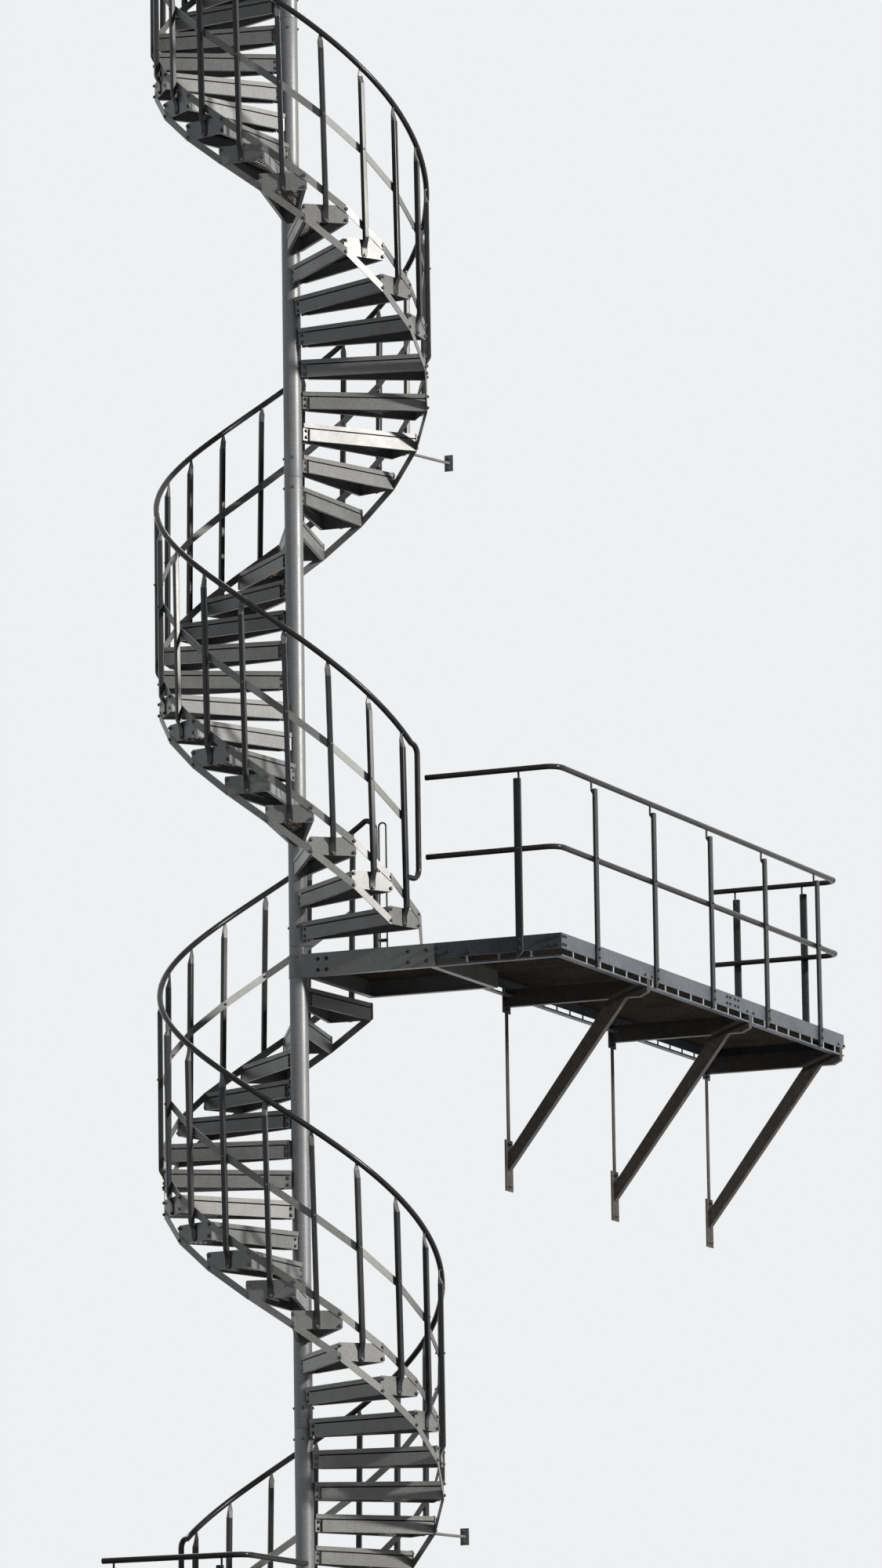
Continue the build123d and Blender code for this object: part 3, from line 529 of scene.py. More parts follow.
@dataclass(frozen=True)
class Bolt:
    """Hexagon head on a round washer, with a stub of thread if it is a nut.

    The outlines hold a radius and a height for each ring, as shares of half the width across the corners and of the
    head's height, or of the stub's above the head.
    """
    across: float
    head: float
    stub: float = 0.0
    washer: Points = ((1.32, 0.0), (1.32, 0.22), (1.1, 0.30))
    hexagon: Points = ((1.0, 0.28), (1.0, 1.0), (0.82, 1.18))
    thread: Points = ((0.5, 0.0), (0.5, 1.0), (0.4, 1.15))

    def at(self, places: np.ndarray) -> Surface:
        """One bolt at each placement, rising along its Z.

        Args:
            places: any number of 4 x 4 placements.
        Returns:
            All of them as one surface.
        """
        r, h = self.across / 2, self.head
        parts = [turned_form([(r * x, h * z) for x, z in outline], sides)
                 for outline, sides in ((self.washer, 10), (self.hexagon, 6))]
        if self.stub:
            parts.append(turned_form([(r * x, h + self.stub * z) for x, z in self.thread], 8))
        return joined(parts).copies(places.reshape(-1, 4, 4))


PLATE_BOLT, LUG_BOLT = Bolt(0.019, 0.009), Bolt(0.019, 0.010, 0.006)
RAIL_BOLT, RAIL_SCREW = Bolt(0.013, 0.006), Bolt(0.013, 0.006, 0.006)
COLUMN_BOLT, SIDE_BOLT, CHANNEL_BOLT = Bolt(0.016, 0.007), Bolt(0.017, 0.008), Bolt(0.020, 0.009)
ANCHOR_NUT, WALL_NUT, TIE_NUT = Bolt(0.032, 0.017, 0.026), Bolt(0.022, 0.010, 0.012), Bolt(0.018, 0.008, 0.008)


def aimed(points: Sequence | np.ndarray, direction: Sequence | np.ndarray) -> np.ndarray:
    """Placements whose Z looks along a direction.

    Args:
        points: one point, or a row for each.
        direction: one direction for all, or a row for each point.
    Returns:
        The 4 x 4 placements.
    """
    points = np.asarray(points, float)
    z = np.broadcast_to(unit(np.asarray(direction, float)), points.shape)
    x = unit(np.cross(np.where(np.abs(z[..., 2:]) > 0.9, AXIS_X, AXIS_Z), z))
    return placement(x, np.cross(z, x), z, points)


@dataclass
class Tread:
    """One tread in its own frame: X outwards from the column, Z = 0 on the walking surface."""
    step: float
    outer: float = 0.880
    sheet: float = 0.004
    width_at_column: float = 0.044
    plate: float = 0.005
    plate_top: float = 0.004
    plate_height: float = 0.118
    plate_cut: float = 0.008
    margin: float = 0.017
    rim_inset: float = 0.006
    tray: float = 0.028
    groove: float = 0.009
    groove_inset: float = 0.009
    skirt_bottom: float = -0.114
    skirt_start: float = 0.104
    flange: float = 0.020
    lap: float = 0.001
    lug: float = 0.006
    lug_offset: float = 0.030
    lug_rows: tuple[float, float] = (-0.048, -0.092)
    lug_bite: float = 0.0005
    lug_bolt: float = 0.083
    nose_gap: float = 0.003
    corner_bolt: float = 0.014
    foot_bolt: tuple[float, float] = (0.008, -0.100)
    mesh_gap: float = 0.002
    bar: float = 0.004
    bar_pitch: float = 0.050
    bar_depth: float = 0.012
    cross_pitch: float = 0.0333
    cross_depth: float = 0.007
    cross_top: float = -0.0015
    shortest: float = 0.010

    @property
    def half_plate(self) -> float:
        """Half the width of the end plate."""
        return self.outer * math.tan(math.radians(self.step / 2)) + self.margin

    @property
    def slope(self) -> float:
        """How fast the tread widens away from the column."""
        return (self.half_plate - self.rim_inset - self.width_at_column) / (self.outer - COLUMN_RADIUS)

    def half(self, r: np.ndarray | float) -> np.ndarray | float:
        """Half the tread's width at a distance from the column's axis."""
        return self.width_at_column + self.slope * (np.asarray(r) - COLUMN_RADIUS)

    def grating(self) -> Surface:
        """Open mesh: bars along the uphill edge and bars square to it, each cut at the tread's outline.

        A long bar is the edge's straight line moved over by its offset, from where that line enters the outline.
        A cross bar starts s along the edge and goes straight across, from the inner end to the far edge or plate.

        Returns:
            The bars, their tops just under the walking surface.
        """
        near, far = COLUMN_RADIUS + self.mesh_gap, self.outer - self.plate
        w, m = self.width_at_column - self.mesh_gap, self.slope
        lean = math.atan(m)
        sin, cos = math.sin(lean), math.cos(lean)
        offset = np.arange(self.bar_pitch * 0.5, 2 * float(self.half(far)), self.bar_pitch) / cos
        x = np.maximum(near, near + (offset - 2 * w) / (2 * m))
        ends = [np.stack([v, -w - m * (v - near) + offset, np.full_like(v, -self.lap)], -1)[x < far - self.shortest]
                for v in (x, np.full_like(x, far))]
        long_bars = flat_bars(ends[0], ends[1], self.bar, self.bar_depth)
        s = np.arange(-2 * w * sin + 3 * self.bar, (far - near) / cos, self.cross_pitch)
        low = np.maximum(0, -s / math.tan(lean))
        high = np.minimum((2 * w + s * (sin + m * cos)) / (cos - m * sin), (far - near - s * cos) / sin)
        fits = high - low > self.shortest
        base = np.array([near, -w]) + s[fits, None] * np.array([cos, -sin])
        ends = [np.c_[base + t[fits, None] * np.array([sin, cos]), np.full(fits.sum(), self.cross_top)]
                for t in (low, high)]
        return joined([long_bars, flat_bars(ends[0], ends[1], self.bar, self.cross_depth)])

    def edge(self, start: float, inset: float, top: float, depth: float) -> Surface:
        """Upright strips along both long edges, out to the end plate.

        Args:
            start: distance from the column's axis where they begin.
            inset: how far they stand in from the edge.
            top: height of their tops.
            depth: how far they go down.
        Returns:
            Both strips.
        """
        r = np.array([start, self.outer - self.plate])
        ends = np.stack([np.stack([r, side * (self.half(r) - inset - self.sheet / 2), np.full(2, top)], -1)
                         for side in (-1, 1)])
        return flat_bars(ends[:, 0], ends[:, 1], self.sheet, depth)

    def fold(self, top: float, reach: float) -> Surface:
        """Level strips along both edges where the skirt is folded in, as thick as the sheet.

        Args:
            top: height of their upper faces.
            reach: how far they go in from the edge.
        Returns:
            Both strips.
        """
        near, far = self.skirt_start, self.outer - self.plate
        strips = []
        for side in (-1, 1):
            rim, back = [[(x, side * (float(self.half(x)) - inset)) for x in (near, far)]
                         for inset in (self.lap, reach)]
            strips.append(prism([*rim, *back[::-1]][::-side], top - self.sheet, top))
        return joined(strips)

    def crosswise(self, x: float, half: float, top: float, depth: float) -> Surface:
        """One upright strip across the tread."""
        return flat_bars(np.array([[x, -half, top]]), np.array([[x, half, top]]), self.sheet, depth)

    def body(self) -> Surface:
        """Rim, folded skirt, end plate and the plates that join the column.

        Returns:
            All of them as one surface.
        """
        floor, w = -self.tray - self.groove, self.width_at_column
        skirt_depth, lip = floor - self.skirt_bottom, self.groove_inset + self.sheet
        sides = [self.edge(COLUMN_RADIUS, 0.0, 0.0, self.tray), self.edge(self.skirt_start, 0.0, floor, skirt_depth)]
        h, top, cut = self.half_plate, self.plate_top, self.plate_cut
        low = top - self.plate_height
        outline = [(-h + cut, low), (h - cut, low), (h, low + cut), (h, top - cut),
                   (h - cut, top), (-h + cut, top), (-h, top - cut), (-h, low + cut)]
        end_plate = prism(outline, 0, self.plate).moved(
            placement(AXIS_Y, AXIS_Z, AXIS_X, np.array([self.outer - self.plate, 0, 0])))
        back = self.crosswise(self.skirt_start, w + self.sheet, floor, skirt_depth)
        nose = self.crosswise(COLUMN_RADIUS + self.nose_gap, w, -self.lap, self.tray - self.lap)
        folds = [self.fold(self.sheet - self.tray, lip), self.fold(floor, lip),
                 self.fold(self.skirt_bottom + self.sheet, self.flange)]
        near = COLUMN_RADIUS - self.lug_bite
        lug = [(near, self.skirt_bottom), (self.skirt_start, self.skirt_bottom),
               (self.skirt_start, -self.tray), (near, -self.tray)]
        upright = placement(AXIS_X, AXIS_Z, -AXIS_Y, np.zeros(3))
        lugs = [prism(lug, y - self.lug / 2, y + self.lug / 2).moved(upright)
                for y in (-self.lug_offset, self.lug_offset)]
        return joined([*sides, end_plate, back, nose, *folds, *lugs])

    def grooves(self) -> Surface:
        """The two set-back strips between the rim and the skirt."""
        return self.edge(self.skirt_start, self.groove_inset, self.lap - self.tray, self.groove + 2 * self.lap)

    def bolt_places(self) -> np.ndarray:
        """Placements of the corner bolts and the baluster's bolt on the outer face of the end plate.

        Returns:
            The placements in the tread's frame.
        """
        h = self.half_plate - self.corner_bolt
        points = [(self.outer + BAND, y, z) for z in (HOLE_ROW_TOP, HOLE_ROW_LOW) for y in (h, -h)]
        return aimed([*points, (self.outer + self.foot_bolt[0], 0, self.foot_bolt[1])], AXIS_X)

    def lug_bolt_places(self) -> np.ndarray:
        """Placements of the bolts through the plates beside the column, one pair on each outer face.

        Returns:
            The placements in the tread's frame.
        """
        outside = self.lug_offset + self.lug / 2
        rows = [(side, z) for side in (-1, 1) for z in self.lug_rows]
        return aimed([(self.lug_bolt, side * outside, z) for side, z in rows], [(0, side, 0) for side, _ in rows])


@dataclass
class Baluster:
    """A square guard tube with a flattened, bolted foot and a flattened tongue at its head."""
    diameter: float = 0.035
    radius: float = 0.903
    plate_face: float = 0.880
    height: float = 1.236
    lean: float = 1.2
    skin: float = 0.0005
    foot: float = 0.036
    foot_half: float = 0.0215
    foot_deep: float = 0.004
    toe: float = -0.024
    toe_half: float = 0.012
    taper: float = 0.075
    tongue: float = 0.042
    tongue_narrows: float = 0.012
    crimp: float = 0.050
    crimp_widens: float = 0.0025
    crimp_deep: float = 0.0045
    crimp_inset: float = 0.008
    corner: float = 0.0075
    corner_share: float = 0.8
    knob: Points = ((0.006, -0.007), (0.010, -0.005), (0.010, 0.001), (0.007, 0.004))
    knob_inset: float = 0.006
    knob_bite: float = 0.004
    knob_sides: int = 10
    sides: int = 16

    def section(self, s: np.ndarray) -> Surface:
        """The baluster's outside over a row of heights, with a flat cap at each end.

        The section at height s is a rounded rectangle of half widths a(s) across and b(s) in depth: smooth steps
        lead from the flat foot to the square tube, and straight ones from the tube to the crimped head, which
        narrows to a tongue. A point is the corner's centre plus the corner radius times cos t and sin t.
        The foot's centre line bends in to lie on the plate.

        Args:
            s: heights of the rings above the foot's bolt line.
        Returns:
            The closed surface.
        """
        tip = self.height - self.tongue
        rise = np.clip((s - self.foot) / self.taper, 0, 1)
        rise = rise * rise * (3 - 2 * rise)
        crimp = np.clip((s - (tip - self.crimp)) / self.crimp, 0, 1)
        point = np.clip((s - tip) / self.tongue, 0, 1)
        r = self.diameter / 2 - self.skin
        wide = self.foot_half + (r - self.foot_half) * rise + self.crimp_widens * crimp - self.tongue_narrows * point
        wide = np.where(s <= self.toe, self.toe_half, wide)
        deep = self.foot_deep + (r - self.foot_deep) * rise - (r - self.crimp_deep) * crimp
        seat = self.plate_face + self.foot_deep
        centre = seat + (self.radius - seat) * rise - self.crimp_inset * crimp
        t = (np.arange(self.sides) + 0.5) * 2 * np.pi / self.sides
        half = np.stack([deep, wide], -1)[:, None]
        corner = np.minimum(self.corner, half.min(axis=-1, keepdims=True) * self.corner_share)
        turn = np.stack([np.cos(t), np.sin(t)], -1)
        ring = (half - corner) * np.sign(turn) + corner * turn
        x = centre[:, None] + ring[..., 0]
        points = np.stack([x, ring[..., 1], np.repeat(s[:, None], self.sides, 1)], -1)
        return Surface(points.reshape(-1, 3), ring_faces(len(s), self.sides))

    def lean_matrix(self) -> np.ndarray:
        """Tilt of the baluster about its foot, in the plane of the end plate."""
        a = math.radians(self.lean)
        return placement(AXIS_X, np.array([0, math.cos(a), math.sin(a)]), np.array([0, -math.sin(a), math.cos(a)]),
                         np.zeros(3))

    def form(self) -> Surface:
        """Flattened foot and square tube up to the crimp, leaning downhill."""
        s = np.concatenate([np.linspace(self.toe, self.foot, 4), np.linspace(self.foot, self.foot + self.taper, 9)[1:],
                            [self.height * 0.5, self.height - self.tongue - self.crimp]])
        return self.section(s).moved(self.lean_matrix())

    def head(self) -> Surface:
        """Crimped head: square at the tube, flat where it is widest, and a tongue up to the knob under the rail.

        Returns:
            The head in the baluster's frame.
        """
        top, tip = self.height, self.height - self.tongue
        s = np.concatenate([np.linspace(tip - self.crimp, tip, 5), [top - self.knob_bite]])
        place = placement(AXIS_X, AXIS_Y, AXIS_Z, np.array([self.radius - self.knob_inset, 0, top]))
        knob = turned_form(self.knob, self.knob_sides).moved(place)
        return joined([self.section(s), knob]).moved(self.lean_matrix())


@dataclass
class Flight:
    """One helical flight: treads, balusters, rail, and the fasteners on its bands."""
    name: str
    step: float
    rise: float
    first_angle: float
    first_level: float
    count: int
    tread: Tread = field(init=False)
    baluster: Baluster = field(default_factory=Baluster)
    rail_diameter: float = 0.038
    loop_radius: float = 0.070
    loop_start: float = 6.0
    loop_low: float = 0.207
    loop_high: float = 0.060
    loop_points: int = 9
    rail_segment: float = 3.0
    collar: Points = ((0.0192, -0.0035), (0.0203, -0.002), (0.0203, 0.002), (0.0192, 0.0035))
    collar_sides: int = 16
    first_collar: int = 2
    collar_every: int = 5
    midrail_share: float = 0.565

    def __post_init__(self) -> None:
        """Makes the flight's tread."""
        self.tread = Tread(self.step)

    @property
    def slant(self) -> float:
        """How far downhill a baluster's head stands of its foot."""
        return math.tan(math.radians(self.baluster.lean)) * self.baluster.height

    @property
    def head_turn(self) -> float:
        """That slant in degrees about the column."""
        return math.degrees(self.slant / self.baluster.radius)

    def stations(self, lift: float = 0.0) -> np.ndarray:
        """Placement of each tread's frame, X outwards: one step clockwise and one rise up from the one below.

        Args:
            lift: height added to each.
        Returns:
            The placements from the lowest up.
        """
        i, zero = np.arange(self.count), np.zeros(self.count)
        a = np.radians(self.first_angle - self.step * i)
        x = np.stack([np.cos(a), np.sin(a), zero], -1)
        y = np.stack([-np.sin(a), np.cos(a), zero], -1)
        return placement(x, y, AXIS_Z, np.stack([zero, zero, self.first_level + self.rise * i + lift], -1))

    def on_rail(self, degrees: np.ndarray) -> np.ndarray:
        """Points of the handrail's axis: x = r cos t, y = r sin t, and one rise up for each step clockwise.

        Args:
            degrees: angles about the column.
        Returns:
            One point for each.
        """
        a, r = np.radians(degrees), self.baluster.radius
        centre = HOLE_ROW_LOW + self.baluster.height + self.rail_diameter / 2
        z = self.first_level + centre + (self.first_angle - self.head_turn - degrees) / self.step * self.rise
        return np.stack([r * np.cos(a), r * np.sin(a), z], -1)

    def rail_path(self) -> np.ndarray:
        """Axis of the handrail: a loop at the foot, the helix, and a loop at the head.

        Returns:
            The path's points from the lowest end to the highest.
        """
        start = self.first_angle - self.head_turn + self.loop_start
        stop = self.first_angle - self.step * (self.count - 1) - self.head_turn - self.loop_start
        degrees = np.linspace(start, stop, int(abs(start - stop) / self.rail_segment) + 1)
        helix = self.on_rail(degrees)
        reach = self.loop_radius + math.radians(self.loop_start) * self.baluster.radius - self.baluster.diameter / 2
        landing = self.first_level + self.rise * self.count
        ends = []
        for i, sign, bottom in ((0, 1, self.first_level + self.loop_low), (-1, -1, landing + self.loop_high)):
            a = math.radians(degrees[i])
            along = np.array([-math.sin(a), math.cos(a), 0]) * sign
            corner = helix[i] + along * self.loop_radius
            low = np.array([corner[0], corner[1], bottom])
            bend = quarter(corner, along, -AXIS_Z, self.loop_radius, self.loop_points)[1:]
            back = quarter(low, -AXIS_Z, -along, self.loop_radius, self.loop_points)
            ends.append(np.concatenate([bend, back, [low - along * reach]]))
        return np.concatenate([ends[0][::-1], helix, ends[1]])

    def handrail(self) -> Surface:
        """Round tube along the rail's path, its section turned from the column outwards.

        Returns:
            The closed tube.
        """
        path = self.rail_path()
        radius = self.rail_diameter / 2
        return carried(oval(RAIL_SIDES, radius, radius), path, path * (1.0, 1.0, 0.0))

    def rail_collars(self) -> Surface:
        """Thin sleeves where lengths of the handrail meet, every few treads.

        Returns:
            The sleeves.
        """
        degrees = self.first_angle - self.step * (np.arange(self.first_collar, self.count - 1, self.collar_every) + 0.5)
        a = np.radians(degrees)
        slope = self.rise / (math.radians(self.step) * self.baluster.radius)
        along = np.stack([np.sin(a), -np.cos(a), np.full_like(a, slope)], -1)
        return turned_form(self.collar, self.collar_sides).copies(aimed(self.on_rail(degrees), along))

    def midrail_bolts(self) -> np.ndarray:
        """Placements of the middle rail's bolts: one on its inner face and one on each baluster's outer side.

        Returns:
            Two placements for each tread.
        """
        post, share = self.baluster, self.midrail_share
        y, z = -self.slant * share, HOLE_ROW_LOW + post.height * share
        seat = (post.radius - post.diameter / 2) * math.cos(math.radians(self.step / 2)) - BAND - post.skin
        outside = post.radius + post.diameter / 2 - post.skin
        return self.stations()[:, None] @ aimed([(seat, y, z), (outside, y, z)], [(-1, 0, 0), (1, 0, 0)])

    def build(self) -> None:
        """Makes and dresses every piece of the flight."""
        at, posts, name = self.stations(), self.stations(HOLE_ROW_LOW), self.name
        show(name + "_tread_bodies", self.tread.body().copies(at), ZINC, stands_for=[name + "_treads"])
        # The grooves are coloured near black: painted shade under the lip, with dirt.
        show(name + "_tread_grooves", self.tread.grooves().copies(at), DIRT_AND_SHADE_GROOVE)
        show(name + "_tread_grating", self.tread.grating().copies(at), MESH)
        show(name + "_baluster_tubes", self.baluster.form().copies(posts), TUBE, smooth=True, sharp=20.0,
             stands_for=[name + "_balusters"])
        show(name + "_baluster_heads", self.baluster.head().copies(posts), HEAD, smooth=True, sharp=20.0)
        show(name + "_rail", joined([self.handrail(), self.rail_collars()]), SHADE_DARKENED_RAIL, smooth=True,
             stands_for=[name + "_handrail"])
        show(name + "_bolts", joined([PLATE_BOLT.at(at[:, None] @ self.tread.bolt_places()),
                                      LUG_BOLT.at(at[:, None] @ self.tread.lug_bolt_places()),
                                      RAIL_BOLT.at(self.midrail_bolts())]), BOLT)


@dataclass
class Column:
    """The round column: smooth lengths with a shadow line and two rings of bolts at each joint."""
    first: float = 0.020
    joint_above_landing: float = 0.052
    length: float = 3.130
    top: float = TOP_LEVEL + 1.150
    sides: int = 48
    ease: Points = ((-0.004, 0.0005), (-0.001, 0.001), (0.0, 0.004))
    sleeve_inset: float = 0.006
    sleeve_half: float = 0.010
    dome: float = 0.005
    dome_seat: float = 0.001
    dome_turn: float = 1.35
    bolt_lifts: tuple[float, float] = (0.130, -0.070)
    bolt_angles: tuple[float, ...] = (20, 110, 200, 290)

    @property
    def joints(self) -> np.ndarray:
        """Heights where two lengths meet."""
        return MIDDLE_LEVEL + self.joint_above_landing + self.length * np.arange(-1, 3)

    def lengths(self) -> Surface:
        """Tube lengths with eased ends, so that each joint shows as a thin dark groove.

        Returns:
            The lengths, and the dark sleeve inside each joint.
        """
        r, inner = COLUMN_RADIUS, COLUMN_RADIUS - self.sleeve_inset
        eased = [(r + inwards, h) for inwards, h in self.ease]
        ends = np.concatenate([[self.first], self.joints, [self.top]])
        parts = []
        for low, high in zip(ends[:-1], ends[1:]):
            outline = [(x, low + h) for x, h in eased]
            outline += [(r, z) for z in np.linspace(low, high, 6)[1:-1]]
            outline += [(x, high - h) for x, h in eased[::-1]]
            parts.append(turned_form(outline, self.sides))
        sleeve = turned_form([(inner, -self.sleeve_half), (inner, self.sleeve_half)], self.sides)
        seats = placement(AXIS_X, AXIS_Y, AXIS_Z, self.joints[:, None] * AXIS_Z)
        return joined(parts + [sleeve.copies(seats)])

    def cap(self) -> Surface:
        """Shallow dome on the column's top: radius falls with the cosine as the height rises with the sine.

        Returns:
            The closed dome.
        """
        base, turn = self.top + self.dome_seat, np.linspace(0, self.dome_turn, 7)[1:]
        outline = [(COLUMN_RADIUS, self.top), (COLUMN_RADIUS, base)]
        outline += [(COLUMN_RADIUS * math.cos(v), base + self.dome * math.sin(v)) for v in turn]
        return turned_form(outline, self.sides)

    def joint_bolts(self) -> Surface:
        """Bolt heads above and below each joint, at four sides."""
        at = np.array([(math.cos(a), math.sin(a), z + lift) for z in self.joints for lift in self.bolt_lifts
                       for a in np.radians(self.bolt_angles)])
        return COLUMN_BOLT.at(aimed(at * (COLUMN_RADIUS, COLUMN_RADIUS, 1.0), at * (1.0, 1.0, 0.0)))

    def build(self) -> None:
        """Makes the column, its cap and its bolts."""
        show("column_tube", self.lengths(), COLUMN_ZINC, smooth=True,
             stands_for=[f"column_{i}" for i in range(1, 6)])
        show("column_dome", self.cap(), COLUMN_ZINC, smooth=True, stands_for=["column_cap"])
        show("column_bolts", self.joint_bolts(), BOLT)


@dataclass
class Deck:
    """Pressed grating in a level rectangle, with deep bars along X and shallow bars along Y."""
    node: str
    wraps_column: bool = False
    pitch: float = 0.0333
    bar: float = 0.003
    depth: float = 0.030
    cross_depth: float = 0.010
    clear: float = 0.0705

    def row(self, low: np.ndarray, high: np.ndarray, along: int, at: np.ndarray, depth: float) -> Surface:
        """Parallel bars of a panel, shortened to start clear of the column where its corner wraps round it.

        Args:
            low: the panel's lowest corner.
            high: the panel's highest corner.
            along: axis of the bars.
            at: their places on the other axis.
            depth: how far they go down.
        Returns:
            The bars.
        """
        start, end = np.zeros((2, len(at), 3))
        start[:, 1 - along] = end[:, 1 - along] = at
        start[:, along], end[:, along] = low[along], high[along]
        start[:, 2] = end[:, 2] = high[2]
        if self.wraps_column:
            hit = np.abs(at) < self.clear
            reach = np.sqrt(np.maximum(self.clear ** 2 - at ** 2, 0))
            near_start = np.abs(start[:, along]) < np.abs(end[:, along])
            sign = np.sign(start[:, along] + end[:, along])
            for ends, cut in ((start, hit & near_start), (end, hit & ~near_start)):
                ends[:, along] = np.where(cut, sign * np.maximum(reach, sign * ends[:, along]), ends[:, along])
        return flat_bars(start, end, self.bar, depth)

    def panel(self, low: np.ndarray, high: np.ndarray) -> Surface:
        """Bars of one panel, with a frame of flat bars round it.

        Args:
            low: lowest corner.
            high: highest corner.
        Returns:
            The bars.
        """
        rows = []
        for along, depth in ((0, self.depth), (1, self.cross_depth)):
            at = np.arange(low[1 - along] + self.bar, high[1 - along], self.pitch)
            rows.append(self.row(low, high, along, at, depth))
        for along in (0, 1):
            at = np.array([low[1 - along] + self.bar / 2, high[1 - along] - self.bar / 2])
            rows.append(self.row(low, high, along, at, self.depth))
        return joined(rows)

    def build(self, spans: Points = (), first_edge: float | None = None) -> None:
        """Makes the deck inside its CAD node's box.

        Args:
            spans: spans along Y of separate panels; none for one panel over the whole box.
            first_edge: X where the first panel begins, if that isn't the box's own side.
        """
        low, high = (np.array(v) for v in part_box(self.node))
        parts = []
        for i, (start, end) in enumerate(spans or [(low[1], high[1])]):
            near = low[0] if i or first_edge is None else first_edge
            parts.append(self.panel(np.array([near, start, low[2]]), np.array([high[0], end, high[2]])))
        show(self.node + "_bars", joined(parts), MESH, stands_for=[self.node])


@dataclass
class Guard:
    """Level guard rails and their stanchions, each one given by its place on the plate and its outward direction.

    The cap and the sleeve are outlines from the rail's surface: how far outside it, and how far along. The pin's line
    is how far outside the plate and over the stanchion's shoulder each of its points lies.
    """
    name: str
    corners: Points
    level: float
    stanchions: Sequence[tuple[float, float, float, float]]
    rail_nodes: Sequence[str]
    post_nodes: Sequence[str] = ()
    heights: tuple[float, float] = (1.090, 0.568)
    tube: float = 0.038
    bend: float = 0.090
    bend_points: int = 10
    post_width: float = 0.050
    post_depth: float = 0.020
    post_corner: float = 0.004
    post_sides: int = 20
    post_foot: float = -0.152
    post_head: float = 1.048
    cap: Points = ((-0.0002, -0.003), (-0.0002, -0.001), (-0.0025, -0.0002))
    sleeve: Points = ((0.0001, -0.004), (0.001, -0.002), (0.001, 0.002), (0.0001, 0.004))
    sleeve_gap: float = 0.002
    pin: float = 0.014
    pin_sides: int = 10
    pin_line: Points = ((0.004, -0.030), (-0.006, -0.022), (0.002 - RAIL_INSET, -0.006), (0.002 - RAIL_INSET, 0.012))
    pin_bite: float = 0.004
    foot_rows: tuple[float, float] = (-0.030, -0.085)

    def rail(self, z: float) -> Surface:
        """Round tube through the plan corners, with a quarter bend at each, end caps, and a sleeve at each bend's end.

        Args:
            z: height of its axis.
        Returns:
            The rail.
        """
        spots = np.array([(x, y, z) for x, y in self.corners])
        ways = unit(np.diff(spots, axis=0))
        r = self.tube / 2
        turns = range(1, len(spots) - 1)
        bends = [quarter(spots[i], ways[i - 1], ways[i], self.bend, self.bend_points) for i in turns]
        tube = carried(oval(RAIL_SIDES, r, r), np.concatenate([spots[:1], *bends, spots[-1:]]), AXIS_Z)
        cap, ring = (turned_form([(r + out, step) for out, step in outline], RAIL_SIDES)
                     for outline in (self.cap, self.sleeve))
        caps = [cap.moved(aimed(end, way)) for end, way in ((spots[0], -ways[0]), (spots[-1], ways[-1]))]
        sleeves = [ring.moved(aimed(spots[i] + sign * way * (self.bend + self.sleeve_gap), way))
                   for i in turns for way, sign in ((ways[i - 1], -1), (ways[i], 1))]
        return joined([tube, *caps, *sleeves])

    def shell(self) -> Surface:
        """Flattened tube of a stanchion with a gabled head and a slanted foot, X across it, Y up and Z outwards.

        Its section is a rounded rectangle: the corner's centre plus the corner radius times cos t and sin t.

        Returns:
            The closed tube.
        """
        t = (np.arange(self.post_sides) + 0.5) * 2 * np.pi / self.post_sides
        turn = np.stack([np.cos(t), np.sin(t)])
        half = np.array([[self.post_width / 2], [self.post_depth / 2]])
        across, depth = (half - self.post_corner) * np.sign(turn) + self.post_corner * turn
        rows = np.stack([self.post_foot + (half[0] + across), self.post_head - np.abs(across)])
        points = np.stack([np.broadcast_to(across, rows.shape), rows, np.broadcast_to(depth, rows.shape)], -1)
        return Surface(points.reshape(-1, 3), [f[:, ::-1] for f in ring_faces(2, self.post_sides)])

    def post(self, x: float, y: float, ox: float, oy: float) -> Surface:
        """Stanchion outside the side plate, with its bolts, and a pin up to the rail.

        Args:
            x: place on the side plate's outer face.
            y: place on the side plate's outer face.
            ox: the outward direction's x.
            oy: the outward direction's y.
        Returns:
            The stanchion with its pin.
        """
        at, out, side = np.array([x, y, self.level]), np.array([ox, oy, 0.0]), np.array([-oy, ox, 0.0])
        shell = self.shell().moved(placement(side, AXIS_Z, out, at + out * self.post_depth / 2))
        shoulder = self.post_head - self.post_width / 2
        line = [(away, shoulder + rise) for away, rise in self.pin_line]
        line.append((line[-1][0], self.heights[0] - self.tube / 2 + self.pin_bite))
        path = np.array([at + out * away + AXIS_Z * z for away, z in line])
        pin = carried(oval(self.pin_sides, self.pin / 2, self.pin / 2), path, side)
        face = at + out * self.post_depth
        screw = RAIL_SCREW.at(aimed(face + AXIS_Z * self.heights[1], out))
        bolts = PLATE_BOLT.at(aimed([face + AXIS_Z * z for z in self.foot_rows], out))
        return joined([shell, pin, screw, bolts])

    def build(self) -> None:
        """Makes the rails and the stanchions."""
        show(self.name + "_rails", joined(self.rail(self.level + h) for h in self.heights), SHADE_DARKENED_RAIL,
             smooth=True, stands_for=self.rail_nodes)
        show(self.name + "_posts", joined(self.post(*place) for place in self.stanchions), SHADE_DARKENED_POST,
             smooth=True, stands_for=self.post_nodes)


